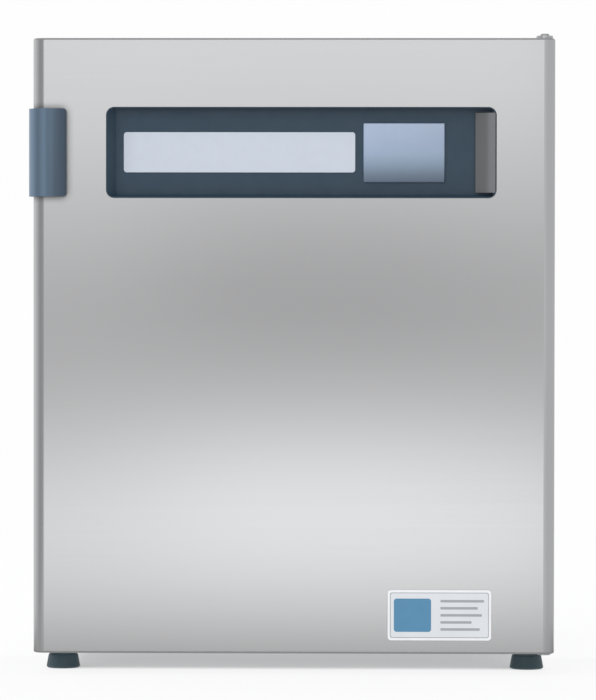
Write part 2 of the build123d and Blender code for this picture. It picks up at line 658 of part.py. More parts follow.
with BuildPart() as rear_screws:
    with BuildSketch(back(CAB_BACK)):
        with Locations(*SCREW_SPOTS):
            Circle(SCREW_HEAD_R)
    extrude(amount=SCREW_HEAD)
    fillet(rear_screws.faces().group_by(Axis.Y)[-1].edges(), SCREW_HEAD / 2)
    with BuildSketch(back(CAB_BACK - 1.4)):
        with Locations(*SCREW_SPOTS):
            Circle(SCREW_SHANK_R)
    extrude(amount=2.0)
    with BuildSketch(back(CAB_BACK + SCREW_HEAD / 2)):
        with Locations(*SCREW_SPOTS):
            RegularPolygon(SCREW_SOCKET_R, 6)
    extrude(amount=CUT, mode=Mode.SUBTRACT)
write(rear_screws, "rear_screws")

SPACER_R = 16.0
SPACER_TAPER = 8.0  # degrees
SPACER_X = 340.0
SPACER_SPOTS = [(x, z) for x in (-SPACER_X, SPACER_X) for z in (BASE_Z + 60.0, TOP_Z - 70.0)]
with BuildPart() as rear_spacers:
    with BuildSketch(back(CAB_BACK)):
        with Locations(*SPACER_SPOTS):
            Circle(SPACER_R)
    extrude(amount=REAR_PROUD, taper=SPACER_TAPER)
    fillet(rear_spacers.faces().group_by(Axis.Y)[-1].edges(), 2)
write(rear_spacers, "rear_spacers")

# mains inlet with its fuse drawer and the seat of the rocker switch
POWER_CENTRE = (-POWER_SPOT[0], POWER_SPOT[1])
SWITCH_DZ = 27.0
SWITCH_SEAT = (26.0, 20.0)
ROCKER_TILT = 9.0
ROCKER_AXIS_Y = CAB_BACK - 4.0
ROCKER_Z = POWER_SPOT[1] + SWITCH_DZ
ROCKER_PIN_R = 1.5
ROCKER_PIN_LENGTH = 29.0
ROCKER_FACE = 8.0
ROCKER_ROOT = 4.0
ROCKER_DISH = 1.6  # the middle of the rocker's face lies this far in
ROCKER_WIDTH = 24.0
FITTING_EDGE = 4.5  # the body behind the panel is this much smaller than the flange, each side
INLET_FLANGE = 3.0
INLET_BODY = 34.0
INLET_MOUTH = (28.0, 20.0)
INLET_MOUTH_DROP = 20.0
INLET_MOUTH_DEPTH = 16.0
MAINS_PIN = (2.0, 5.0)
MAINS_PIN_LENGTH = 14.0
MAINS_PIN_SPREAD = 7.0
MAINS_PIN_DROPS = (22.0, 17.0)  # outer pins, then the middle one
FUSE_DRAWER = (30.0, 14.0)
FUSE_GROOVE = 1.0
with BuildPart() as power_inlet:
    with BuildSketch(back(CAB_BACK)):
        with Locations(POWER_CENTRE):
            RectangleRounded(*POWER_SIZE, 5)
    extrude(amount=INLET_FLANGE)
    fillet(power_inlet.faces().sort_by(Axis.Y)[-1].edges(), 1)
    with BuildSketch(back(CAB_BACK)):
        with Locations(POWER_CENTRE):
            Rectangle(POWER_SIZE[0] - 2 * FITTING_EDGE, POWER_SIZE[1] - 2 * FITTING_EDGE)
    extrude(amount=-INLET_BODY)
    with BuildSketch(back(CAB_BACK + 4)):
        with Locations((POWER_CENTRE[0], POWER_CENTRE[1] + SWITCH_DZ)):
            Rectangle(*SWITCH_SEAT)
    extrude(amount=-22, mode=Mode.SUBTRACT)
    with BuildSketch(back(CAB_BACK - INLET_MOUTH_DEPTH)):
        with Locations((POWER_CENTRE[0], POWER_CENTRE[1] - INLET_MOUTH_DROP)):
            RectangleRounded(*INLET_MOUTH, 4)
    extrude(amount=INLET_MOUTH_DEPTH + INLET_FLANGE + CUT, mode=Mode.SUBTRACT)
    with BuildSketch(back(CAB_BACK - INLET_MOUTH_DEPTH)):
        with Locations(
            (POWER_CENTRE[0] - MAINS_PIN_SPREAD, POWER_CENTRE[1] - MAINS_PIN_DROPS[0]),
            (POWER_CENTRE[0], POWER_CENTRE[1] - MAINS_PIN_DROPS[1]),
            (POWER_CENTRE[0] + MAINS_PIN_SPREAD, POWER_CENTRE[1] - MAINS_PIN_DROPS[0]),
        ):
            Rectangle(*MAINS_PIN)
    extrude(amount=MAINS_PIN_LENGTH)
    with BuildSketch(back(CAB_BACK + INLET_FLANGE - FUSE_GROOVE)):
        with Locations((POWER_CENTRE[0], POWER_CENTRE[1] + 3)):
            RectangleRounded(*FUSE_DRAWER, 2)
            RectangleRounded(
                FUSE_DRAWER[0] - 2 * FUSE_GROOVE, FUSE_DRAWER[1] - 2 * FUSE_GROOVE, 1.5, mode=Mode.SUBTRACT
            )
    extrude(amount=FUSE_GROOVE + 1, mode=Mode.SUBTRACT)
    with BuildSketch(side(POWER_SPOT[0] - ROCKER_PIN_LENGTH / 2 - 0.3)):
        with Locations((ROCKER_AXIS_Y, ROCKER_Z)):
            Circle(ROCKER_PIN_R + 0.08)
    extrude(amount=ROCKER_PIN_LENGTH + 0.6, mode=Mode.SUBTRACT)
write(power_inlet, "power_inlet")

# the rocker rests tilted by ROCKER_TILT, off side in, and turns through twice that
with BuildPart() as power_switch:
    with BuildSketch(side(POWER_SPOT[0] - ROCKER_WIDTH / 2)):
        with BuildLine():
            Polyline(
                (ROCKER_AXIS_Y - ROCKER_ROOT, ROCKER_Z - 6.5),
                (ROCKER_AXIS_Y + ROCKER_FACE, ROCKER_Z - 8.5),
                (ROCKER_AXIS_Y + ROCKER_FACE - ROCKER_DISH, ROCKER_Z),
                (ROCKER_AXIS_Y + ROCKER_FACE, ROCKER_Z + 8.5),
                (ROCKER_AXIS_Y - ROCKER_ROOT, ROCKER_Z + 6.5),
                close=True,
            )
        make_face()
    extrude(amount=ROCKER_WIDTH)
    fillet(power_switch.edges().filter_by(Axis.X).group_by(Axis.Y)[-1], 1)
    with BuildSketch(side(POWER_SPOT[0] - ROCKER_PIN_LENGTH / 2)):
        with Locations((ROCKER_AXIS_Y, ROCKER_Z)):
            Circle(ROCKER_PIN_R)
    extrude(amount=ROCKER_PIN_LENGTH)
rocker_axis = Axis((CENTRE_X, ROCKER_AXIS_Y, ROCKER_Z), (1, 0, 0))
power_switch.part = power_switch.part.rotate(rocker_axis, -ROCKER_TILT)
write(power_switch, "power_switch")

SIGNAL_CENTRE = (-SIGNAL_SPOT[0], SIGNAL_SPOT[1])
SIGNAL_FLANGE = 2.0
SIGNAL_BODY = 22.0
ROUND_SOCKET_X = -26.0
ROUND_SOCKET_R = 11.0
ROUND_SOCKET_BORE_R = 8.5
ROUND_SOCKET_PROUD = 8.0
NETWORK_X, SERVICE_X = 8.0, 31.0
NETWORK_SIZE = (14.0, 13.0)
SERVICE_SIZE = (13.0, 12.0)
SOCKET_DEPTH = 10.0
with BuildPart() as signal_sockets:
    with BuildSketch(back(CAB_BACK)):
        with Locations(SIGNAL_CENTRE):
            RectangleRounded(*SIGNAL_SIZE, 4)
    extrude(amount=SIGNAL_FLANGE)
    with BuildSketch(back(CAB_BACK)):
        with Locations(SIGNAL_CENTRE):
            Rectangle(SIGNAL_SIZE[0] - 2 * FITTING_EDGE, SIGNAL_SIZE[1] - 2 * FITTING_EDGE)
    extrude(amount=-SIGNAL_BODY)
    with BuildSketch(back(CAB_BACK + SIGNAL_FLANGE)):
        with Locations((SIGNAL_CENTRE[0] + ROUND_SOCKET_X, SIGNAL_CENTRE[1])):
            Circle(ROUND_SOCKET_R)
    extrude(amount=ROUND_SOCKET_PROUD)
    with BuildSketch(back(CAB_BACK + SIGNAL_FLANGE + ROUND_SOCKET_PROUD)):
        with Locations((SIGNAL_CENTRE[0] + ROUND_SOCKET_X, SIGNAL_CENTRE[1])):
            Circle(ROUND_SOCKET_BORE_R)
    extrude(amount=-SOCKET_DEPTH - CUT, mode=Mode.SUBTRACT)
    with BuildSketch(back(CAB_BACK + SIGNAL_FLANGE)):
        with Locations((SIGNAL_CENTRE[0] + NETWORK_X, SIGNAL_CENTRE[1])):
            RectangleRounded(*NETWORK_SIZE, 1)
        with Locations((SIGNAL_CENTRE[0] + SERVICE_X, SIGNAL_CENTRE[1])):
            RectangleRounded(*SERVICE_SIZE, 1)
    extrude(amount=-SOCKET_DEPTH, mode=Mode.SUBTRACT)
write(signal_sockets, "signal_sockets")

SPIGOT_R = 3.5
SPIGOT_LENGTH = 11.0
SPIGOT_BORE_R = 1.8
GAS_THREAD = 24.0
GAS_NUT_R = 12.0
GAS_NUT = 5.0
GAS_CENTRE = (-GAS_SPOT[0], GAS_SPOT[1])
with BuildPart() as co2_inlet:
    with BuildSketch(back(CAB_BACK)):
        with Locations(GAS_CENTRE):
            RegularPolygon(GAS_NUT_R, 6)
    extrude(amount=GAS_NUT)
    with BuildSketch(back(CAB_BACK - GAS_THREAD)):
        with Locations(GAS_CENTRE):
            Circle(GAS_THREAD_R)
    extrude(amount=GAS_THREAD)
    with BuildSketch(back(CAB_BACK + GAS_NUT)):
        with Locations(GAS_CENTRE):
            Circle(SPIGOT_R)
    extrude(amount=SPIGOT_LENGTH)
    chamfer(co2_inlet.faces().sort_by(Axis.Y)[-1].edges(), 0.5)
    with BuildSketch(back(CAB_BACK - GAS_THREAD - CUT)):
        with Locations(GAS_CENTRE):
            Circle(SPIGOT_BORE_R)
    extrude(amount=GAS_THREAD + GAS_NUT + SPIGOT_LENGTH + 2 * CUT, mode=Mode.SUBTRACT)
write(co2_inlet, "co2_inlet")

VENT_CENTRE = (-VENT_SPOT[0], VENT_SPOT[1])
VENT_THREAD = 20.0
# each step out from the panel: where it starts, its radius and its length
VENT_STEPS = ((-VENT_THREAD, VENT_THREAD_R, VENT_THREAD), (0.0, 9.0, 4.0), (4.0, 19.0, 9.0))
with BuildPart() as vent_filter:
    for start, radius, length in VENT_STEPS:
        with BuildSketch(back(CAB_BACK + start)):
            with Locations(VENT_CENTRE):
                Circle(radius)
        extrude(amount=length)
    fillet(vent_filter.faces().sort_by(Axis.Y)[-1].edges(), 2)
write(vent_filter, "vent_filter")

BOARD_Y = CAB_BACK - 22.0
BOARD_CENTRE = (-BOARD_SPOT[0], BOARD_SPOT[1])
BOARD_T = 1.6
STANDOFFS = (BOARD_SIZE[0] - 16, BOARD_SIZE[1] - 16)
STANDOFF_R = 4.0
COMPONENT_HEIGHT = 24.0
TRANSFORMER = (48.0, 42.0)
HEAT_SINK = (34.0, 34.0)
CAPACITOR_R = 9.0
CAPACITOR_PITCH = 26.0
with BuildPart() as control_board:
    with BuildSketch(back(BOARD_Y)):
        with Locations(BOARD_CENTRE):
            RectangleRounded(*BOARD_SIZE, 4)
    extrude(amount=BOARD_T)
    with BuildSketch(back(BOARD_Y + BOARD_T)):
        with Locations(BOARD_CENTRE):
            with GridLocations(*STANDOFFS, 2, 2):
                Circle(STANDOFF_R)
    extrude(amount=REAR_SHEET_FRONT - BOARD_Y - BOARD_T)
    with BuildSketch(back(BOARD_Y)):
        with Locations((BOARD_CENTRE[0] - 80, BOARD_CENTRE[1] + 40), (BOARD_CENTRE[0], BOARD_CENTRE[1] + 45)):
            Rectangle(*TRANSFORMER)
        with Locations((BOARD_CENTRE[0] + 70, BOARD_CENTRE[1] - 20)):
            Rectangle(*HEAT_SINK)
        with Locations((BOARD_CENTRE[0] - 70, BOARD_CENTRE[1] - 50)):
            with GridLocations(CAPACITOR_PITCH, 0, 4, 1):
                Circle(CAPACITOR_R)
    extrude(amount=-COMPONENT_HEIGHT)
write(control_board, "control_board")

# ================================================================ outer door
BEZEL_X = 11.0
BEZEL_Z = DOOR_TOP - 170.7
BEZEL_SIZE = (582.0, 135.4)
BEZEL_CORNER = 12.0
BEZEL_FIT = 0.25
DOOR_RIM = 3.2  # radius of the skin's upper and lower front rims


def door_block(inset, back_y):
    """The door's outer envelope, shrunk by inset: a slab whose upright front edges are bent round."""
    with BuildPart() as block:
        with BuildSketch(level(BASE_Z + inset)):
            with Locations((0, (DOOR_FRONT + inset + back_y) / 2)):
                Rectangle(WIDTH - 2 * inset, back_y - DOOR_FRONT - inset)
        extrude(amount=DOOR_HEIGHT - 2 * inset)
        uprights_front = block.edges().filter_by(Axis.Z).group_by(Axis.Y)[0]
        fillet(uprights_front, DOOR_BEND - inset)
        rims = block.edges().group_by(Axis.Z)[0] + block.edges().group_by(Axis.Z)[-1]
        rear = block.faces().sort_by(Axis.Y)[-1].edges()
        fillet([edge for edge in rims if edge not in rear], DOOR_RIM - inset)
    return block


SKIN_BACK = DOOR_BACK - 9.5
SOCKET_R = 9.0  # hinge bush
SOCKET_LENGTH = 22.0
PIN_R = 5.0
PIN_FIT = 0.05
outer_envelope = door_block(0.0, SKIN_BACK)
inner_envelope = door_block(SHEET, SKIN_BACK + 5)

with BuildPart() as door_skin:
    add(outer_envelope.part)
    add(inner_envelope.part, mode=Mode.SUBTRACT)
    with BuildSketch(front(DOOR_FRONT - 1)):
        with Locations((BEZEL_X, BEZEL_Z)):
            RectangleRounded(
                BEZEL_SIZE[0] + 2 * BEZEL_FIT, BEZEL_SIZE[1] + 2 * BEZEL_FIT, BEZEL_CORNER + BEZEL_FIT
            )
    extrude(amount=-3 * CUT, mode=Mode.SUBTRACT)
    with BuildSketch(level(BASE_Z - CUT)):
        with Locations((DOOR_AXIS_X, DOOR_AXIS_Y)):
            Circle(SOCKET_R)
    extrude(amount=DOOR_HEIGHT + 2 * CUT, mode=Mode.SUBTRACT)
write(door_skin, "door_skin")

with BuildPart() as hinge_bushes:
    with BuildSketch(level(BASE_Z)):
        with Locations((DOOR_AXIS_X, DOOR_AXIS_Y)):
            Circle(SOCKET_R)
    extrude(amount=SOCKET_LENGTH)
    with BuildSketch(level(DOOR_TOP - SOCKET_LENGTH)):
        with Locations((DOOR_AXIS_X, DOOR_AXIS_Y)):
            Circle(SOCKET_R)
    extrude(amount=SOCKET_LENGTH)
    with BuildSketch(level(BASE_Z - CUT)):
        with Locations((DOOR_AXIS_X, DOOR_AXIS_Y)):
            Circle(PIN_R + PIN_FIT)
    extrude(amount=DOOR_HEIGHT + 2 * CUT, mode=Mode.SUBTRACT)
write(hinge_bushes, "hinge_bushes")

RECESS_HALF = 342.0
RECESS_DEPTH = 28.0
RECESS_HEIGHT = CHAMBER_HEIGHT + 62.0
LINER_WALL = 3.0
LINER_INSET = 2.0
LINER_RIM = 9.0  # depth of the liner's outer rim
LINER_EDGE = 3.0
RECESS_CORNER = 17.0
with BuildPart() as door_liner:
    with BuildSketch(front(DOOR_BACK)):
        with Locations((0, DOOR_MID_Z)):
            RectangleRounded(WIDTH - 2 * LINER_INSET, DOOR_HEIGHT - 2 * LINER_INSET, 6)
    extrude(amount=LINER_RIM)
    fillet(door_liner.faces().sort_by(Axis.Y)[-1].edges(), LINER_EDGE)
    with BuildSketch(front(DOOR_BACK - LINER_RIM + 1)):
        with Locations((0, CHAMBER_MID_Z)):
            RectangleRounded(
                2 * (RECESS_HALF + LINER_WALL),
                RECESS_HEIGHT + 2 * LINER_WALL,
                RECESS_CORNER + LINER_WALL,
            )
    extrude(amount=RECESS_DEPTH + LINER_WALL - LINER_RIM + 1)
    with BuildSketch(front(DOOR_BACK)):
        with Locations((0, CHAMBER_MID_Z)):
            RectangleRounded(2 * RECESS_HALF, RECESS_HEIGHT, RECESS_CORNER)
    extrude(amount=RECESS_DEPTH, mode=Mode.SUBTRACT)
write(door_liner, "door_liner")

GASKET_MID = 354.0
GASKET_WIDTH = 14.0
GASKET_HEIGHT = RECESS_HEIGHT + 2 * (GASKET_MID - RECESS_HALF)
with BuildPart() as door_gasket:
    with BuildSketch(front(DOOR_BACK)):
        with Locations((0, CHAMBER_MID_Z)):
            RectangleRounded(2 * GASKET_MID + GASKET_WIDTH, GASKET_HEIGHT + GASKET_WIDTH, 24)
            RectangleRounded(
                2 * GASKET_MID - GASKET_WIDTH, GASKET_HEIGHT - GASKET_WIDTH, 10, mode=Mode.SUBTRACT
            )
    extrude(amount=-(DOOR_GAP - 0.4))
    fillet(door_gasket.faces().sort_by(Axis.Y)[-1].edges(), 3)
write(door_gasket, "door_gasket")

# display bezel: a shallow tray whose left end slopes and whose floor carries plate and screen
FLOOR_DEPTH = 14.0
FLOOR_WALL = 3.0
LEFT_SLOPE = 14.0
BEZEL_RIM = 1.5
POCKET_LEFT = BEZEL_X - BEZEL_SIZE[0] / 2 + BEZEL_RIM
POCKET_RIGHT = BEZEL_X + BEZEL_SIZE[0] / 2 - BEZEL_RIM
POCKET_HEIGHT = BEZEL_SIZE[1] - 2 * BEZEL_RIM
POCKET_BOTTOM = BEZEL_Z - POCKET_HEIGHT / 2
FLOOR_Y = DOOR_FRONT + FLOOR_DEPTH
SCREEN_X = 164.5
SCREEN_Z = BEZEL_Z - 0.2
SCREEN_SIZE = (121.0, 88.5)
WINDOW_SIZE = (106.0, 74.0)
USB_X = 290.0
USB_SLOT = (7.0, 14.5)
COVER_AXIS_X = 299.4
COVER_AXIS_Y = DOOR_FRONT + 2.6
COVER_HEIGHT = 119.0
COVER_T = 2.2
BARREL_R = 2.2
BARREL_ROOM = 0.3
COVER_PIN_R = 1.2
COVER_PIN_OUT = 1.6  # each pin end stands this far out of the cover
SILL = 3.2  # the pocket's lower wall rises by this much towards the floor

with BuildPart() as bezel_pocket:
    with BuildSketch(level(POCKET_BOTTOM)):
        with BuildLine():
            Polyline(
                (POCKET_LEFT, DOOR_FRONT - 1),
                (POCKET_LEFT, DOOR_FRONT + 0.8),
                (POCKET_LEFT + LEFT_SLOPE - 1.5, FLOOR_Y),
                (POCKET_RIGHT - 0.3, FLOOR_Y),
                (POCKET_RIGHT, DOOR_FRONT - 1),
                close=True,
            )
        make_face()
    extrude(amount=POCKET_HEIGHT)
    with BuildSketch(front(FLOOR_Y)):
        with Locations((BEZEL_X, BEZEL_Z)):
            RectangleRounded(BEZEL_SIZE[0] - 2 * BEZEL_RIM, POCKET_HEIGHT, BEZEL_CORNER - BEZEL_RIM)
    extrude(amount=FLOOR_DEPTH + 1, mode=Mode.INTERSECT)

# the ears that hold the cover's pins, above and below it
EAR_LENGTH = (POCKET_HEIGHT - COVER_HEIGHT) / 2 - 0.4
EAR_LEFT = COVER_AXIS_X - BARREL_R
EAR_RIGHT = POCKET_RIGHT + 0.4
EAR_FRONT = DOOR_FRONT + 0.9
EAR_BACK = COVER_AXIS_Y + BARREL_R
with BuildPart() as panel_bezel:
    with BuildSketch(front(DOOR_FRONT)):
        with Locations((BEZEL_X, BEZEL_Z)):
            RectangleRounded(*BEZEL_SIZE, BEZEL_CORNER)
    extrude(amount=-(FLOOR_DEPTH + FLOOR_WALL))
    fillet(panel_bezel.faces().sort_by(Axis.Y)[0].edges(), 0.6)
    add(bezel_pocket.part, mode=Mode.SUBTRACT)
    with BuildSketch(side(POCKET_LEFT)):
        with BuildLine():
            Polyline(
                (DOOR_FRONT + 0.6, POCKET_BOTTOM),
                (FLOOR_Y, POCKET_BOTTOM),
                (FLOOR_Y, POCKET_BOTTOM + SILL),
                close=True,
            )
        make_face()
    extrude(amount=POCKET_RIGHT - POCKET_LEFT)
    with BuildSketch(front(FLOOR_Y - 1)):
        with Locations((SCREEN_X, SCREEN_Z)):
            Rectangle(*WINDOW_SIZE)
        with Locations((USB_X, BEZEL_Z)):
            Rectangle(*USB_SLOT)
    extrude(amount=-FLOOR_WALL - 2, mode=Mode.SUBTRACT)
    for z in (POCKET_BOTTOM, POCKET_BOTTOM + POCKET_HEIGHT - EAR_LENGTH):
        with BuildSketch(level(z)):
            with Locations(((EAR_LEFT + EAR_RIGHT) / 2, (EAR_FRONT + EAR_BACK) / 2)):
                Rectangle(EAR_RIGHT - EAR_LEFT, EAR_BACK - EAR_FRONT)
        extrude(amount=EAR_LENGTH)
    pin_bore = COVER_HEIGHT + 2 * COVER_PIN_OUT + 0.4
    with BuildSketch(level(BEZEL_Z - pin_bore / 2)):
        with Locations((COVER_AXIS_X, COVER_AXIS_Y)):
            Circle(COVER_PIN_R + 0.08)
    extrude(amount=pin_bore, mode=Mode.SUBTRACT)
    barrel_back = COVER_AXIS_Y + BARREL_R + BARREL_ROOM
    with BuildSketch(level(BEZEL_Z - COVER_HEIGHT / 2 - BARREL_ROOM)):
        with Locations((COVER_AXIS_X + BARREL_R, (DOOR_FRONT + barrel_back) / 2)):
            Rectangle(2 * BARREL_R, barrel_back - DOOR_FRONT + 2)
    extrude(amount=COVER_HEIGHT + 2 * BARREL_ROOM, mode=Mode.SUBTRACT)
    with BuildSketch(front(DOOR_FRONT)):
        with Locations((BEZEL_X, BEZEL_Z)):
            RectangleRounded(*BEZEL_SIZE, BEZEL_CORNER)
    extrude(amount=-(FLOOR_DEPTH + FLOOR_WALL), mode=Mode.INTERSECT)
write(panel_bezel, "panel_bezel")

COVER_EDGE_X = 271.4
COVER_EDGE_Y = FLOOR_Y - 1.9
cover_angle = degrees(atan2(COVER_EDGE_Y - COVER_AXIS_Y, COVER_EDGE_X - COVER_AXIS_X))
cover_length = ((COVER_EDGE_X - COVER_AXIS_X) ** 2 + (COVER_EDGE_Y - COVER_AXIS_Y) ** 2) ** 0.5
with BuildPart() as usb_cover:
    with BuildSketch(level(BEZEL_Z - COVER_HEIGHT / 2)):
        with Locations(Location((COVER_AXIS_X, COVER_AXIS_Y, 0), cover_angle)):
            with Locations((cover_length / 2, BARREL_R - COVER_T / 2 - 0.1)):
                Rectangle(cover_length, COVER_T)
        with Locations((COVER_AXIS_X, COVER_AXIS_Y)):
            Circle(BARREL_R - 0.1)
    extrude(amount=COVER_HEIGHT)
    free_edges = usb_cover.edges().filter_by(Axis.Z).group_by(Axis.X)[0]
    fillet(free_edges, 0.5)
    with BuildSketch(level(BEZEL_Z - COVER_HEIGHT / 2 - COVER_PIN_OUT)):
        with Locations((COVER_AXIS_X, COVER_AXIS_Y)):
            Circle(COVER_PIN_R)
    extrude(amount=COVER_HEIGHT + 2 * COVER_PIN_OUT)
write(usb_cover, "usb_cover")

USB_FIT = 0.2
USB_BODY = 13.0
USB_MOUTH = (5.2, 12.6)
USB_MOUTH_DEPTH = 11.0
USB_TONGUE = (1.6, 11.0)
USB_TONGUE_LENGTH = 9.5
USB_TONGUE_SHIFT = 1.1
with BuildPart() as usb_socket:
    with BuildSketch(front(FLOOR_Y + 0.3)):
        with Locations((USB_X, BEZEL_Z)):
            Rectangle(USB_SLOT[0] - 2 * USB_FIT, USB_SLOT[1] - 2 * USB_FIT)
    extrude(amount=-USB_BODY)
    with BuildSketch(front(FLOOR_Y)):
        with Locations((USB_X, BEZEL_Z)):
            Rectangle(*USB_MOUTH)
    extrude(amount=-USB_MOUTH_DEPTH, mode=Mode.SUBTRACT)
    with BuildSketch(front(FLOOR_Y + 2)):
        with Locations((USB_X - USB_TONGUE_SHIFT, BEZEL_Z)):
            Rectangle(*USB_TONGUE)
    extrude(amount=-USB_TONGUE_LENGTH)
write(usb_socket, "usb_socket")

SCREEN_T = 3.0
SCREEN_EDGE = 1.1
with BuildPart() as touch_screen:
    with BuildSketch(front(FLOOR_Y)):
        with Locations((SCREEN_X, SCREEN_Z)):
            RectangleRounded(*SCREEN_SIZE, 1.5)
    extrude(amount=SCREEN_T)
    chamfer(touch_screen.faces().sort_by(Axis.Y)[0].edges(), SCREEN_EDGE)
write(touch_screen, "touch_screen")

WINDOW_FIT = 0.3
MODULE_SIZE = (136.0, 100.0)
MODULE_DEPTH = 6.0
with BuildPart() as display_module:
    with BuildSketch(front(FLOOR_Y + 0.3)):
        with Locations((SCREEN_X, SCREEN_Z)):
            Rectangle(WINDOW_SIZE[0] - 2 * WINDOW_FIT, WINDOW_SIZE[1] - 2 * WINDOW_FIT)
    extrude(amount=-(FLOOR_WALL + 1))
    with BuildSketch(front(FLOOR_Y + FLOOR_WALL + 0.2)):
        with Locations((SCREEN_X, SCREEN_Z)):
            RectangleRounded(*MODULE_SIZE, 3)
    extrude(amount=-MODULE_DEPTH)
write(display_module, "display_module")

PLATE_X = -81.4
PLATE_Z = BEZEL_Z + 0.6
PLATE_SIZE = (346.0, 60.2)
PLATE_CORNER = 4.5
PLATE_T = 1.4
PLATE_EDGE = 0.5
with BuildPart() as name_plate:
    with BuildSketch(front(FLOOR_Y)):
        with Locations((PLATE_X, PLATE_Z)):
            RectangleRounded(*PLATE_SIZE, PLATE_CORNER)
    extrude(amount=PLATE_T)
    fillet(name_plate.faces().sort_by(Axis.Y)[0].edges(), PLATE_EDGE)
write(name_plate, "name_plate")

LABEL_X = 218.2
LABEL_Z = BASE_Z + 58.0
LABEL_SIZE = (154.6, 75.4)
LABEL_CORNER = 5.0
LABEL_T = 0.4
with BuildPart() as spec_label:
    with BuildSketch(front(DOOR_FRONT)):
        with Locations((LABEL_X, LABEL_Z)):
            RectangleRounded(*LABEL_SIZE, LABEL_CORNER)
    extrude(amount=LABEL_T)
write(spec_label, "spec_label")

FOAM_INSET = (10.0, 28.0)  # past the bends at the sides, and above and below
FOAM_BEZEL_ROOM = 3.0
FOAM_GAP = 0.8  # both faces together
with BuildPart() as door_insulation:
    with BuildSketch(front(DOOR_FRONT + SHEET + 0.3)):
        with Locations((0, DOOR_MID_Z)):
            Rectangle(WIDTH - 2 * (DOOR_BEND + FOAM_INSET[0]), DOOR_HEIGHT - 2 * FOAM_INSET[1])
        with Locations((BEZEL_X, BEZEL_Z)):
            Rectangle(
                BEZEL_SIZE[0] + 2 * FOAM_BEZEL_ROOM, BEZEL_SIZE[1] + 2 * FOAM_BEZEL_ROOM, mode=Mode.SUBTRACT
            )
    extrude(amount=-(DOOR_DEPTH - RECESS_DEPTH - LINER_WALL - SHEET - FOAM_GAP))
write(door_insulation, "door_insulation")

# handle: a shell wrapped round the door's left edge, crowned in plan
HANDLE_Z = DOOR_TOP - 171.0
HANDLE_LENGTH = 131.0
HANDLE_RIGHT = -HALF + 50.9
HANDLE_BACK = DOOR_FRONT + 50.0
HANDLE_FIT = 0.15
HANDLE_LEFT = -HALF - HANDLE_SIDE
HANDLE_WALL = 14.0
HANDLE_ROOT = DOOR_FRONT + 4.0
HANDLE_LIP = DOOR_FRONT - 7.5  # front of the right-hand edge
HANDLE_CROWN = (HANDLE_RIGHT - 30.0, DOOR_FRONT - HANDLE_FRONT)
HANDLE_SHOULDER = DOOR_FRONT + 9.0
HANDLE_EDGE = 5.0
with BuildPart() as door_handle:
    with BuildSketch(level(HANDLE_Z - HANDLE_LENGTH / 2)):
        with BuildLine():
            Line((HANDLE_RIGHT, HANDLE_ROOT), (HANDLE_RIGHT, HANDLE_LIP))
            ThreePointArc((HANDLE_RIGHT, HANDLE_LIP), HANDLE_CROWN, (HANDLE_LEFT, HANDLE_SHOULDER))
            Polyline(
                (HANDLE_LEFT, HANDLE_SHOULDER),
                (HANDLE_LEFT, HANDLE_BACK),
                (HANDLE_LEFT + HANDLE_WALL, HANDLE_BACK),
                (HANDLE_LEFT + HANDLE_WALL, HANDLE_ROOT),
                (HANDLE_RIGHT, HANDLE_ROOT),
            )
        make_face()
    extrude(amount=HANDLE_LENGTH)
    right_ends = door_handle.edges().filter_by(Axis.Y).sort_by(Axis.X)[-2:]
    fillet(right_ends, HANDLE_EDGE)
    add(door_block(-HANDLE_FIT, SKIN_BACK).part, mode=Mode.SUBTRACT)
write(door_handle, "door_handle")

# ================================================================ outer door hinges
TOP_BRACKET_T = 3.6
BOTTOM_BRACKET_T = 3.0
BOTTOM_BRACKET_Z = BASE_Z - 0.4 - BOTTOM_BRACKET_T
TOP_BRACKET_TAIL = 62.0  # how far each plate runs back over the cabinet
BOTTOM_BRACKET_TAIL = 19.0
BRACKET_FRONT_R = 12.0
BRACKET_GAP = 0.1  # between the top plate and the cabinet
TOP_BRACKET_WIDTH = 24.0
BOTTOM_BRACKET_WIDTH = 18.0


def bracket(z, thickness, width, right_edge, tail):
    """A flat hinge plate: round nose at the pin, square tail fixed to the cabinet."""
    with BuildPart() as plate:
        with BuildSketch(level(z)):
            with Locations((DOOR_AXIS_X, DOOR_AXIS_Y)):
                Circle(min(BRACKET_FRONT_R, width / 2))
            with Locations((right_edge - width / 2, (DOOR_AXIS_Y + CAB_FRONT + tail) / 2)):
                Rectangle(width, CAB_FRONT + tail - DOOR_AXIS_Y)
            with Locations((DOOR_AXIS_X, DOOR_AXIS_Y)):
                Circle(PIN_R + PIN_FIT, mode=Mode.SUBTRACT)
        extrude(amount=thickness)
    return plate


top_bracket = bracket(
    TOP_Z + BRACKET_GAP, TOP_BRACKET_T, TOP_BRACKET_WIDTH, DOOR_AXIS_X + 12, TOP_BRACKET_TAIL
)
write(top_bracket, "hinge_bracket_top")
bottom_bracket = bracket(
    BOTTOM_BRACKET_Z, BOTTOM_BRACKET_T, BOTTOM_BRACKET_WIDTH, DOOR_AXIS_X + 10, BOTTOM_BRACKET_TAIL
)
write(bottom_bracket, "hinge_bracket_bottom")

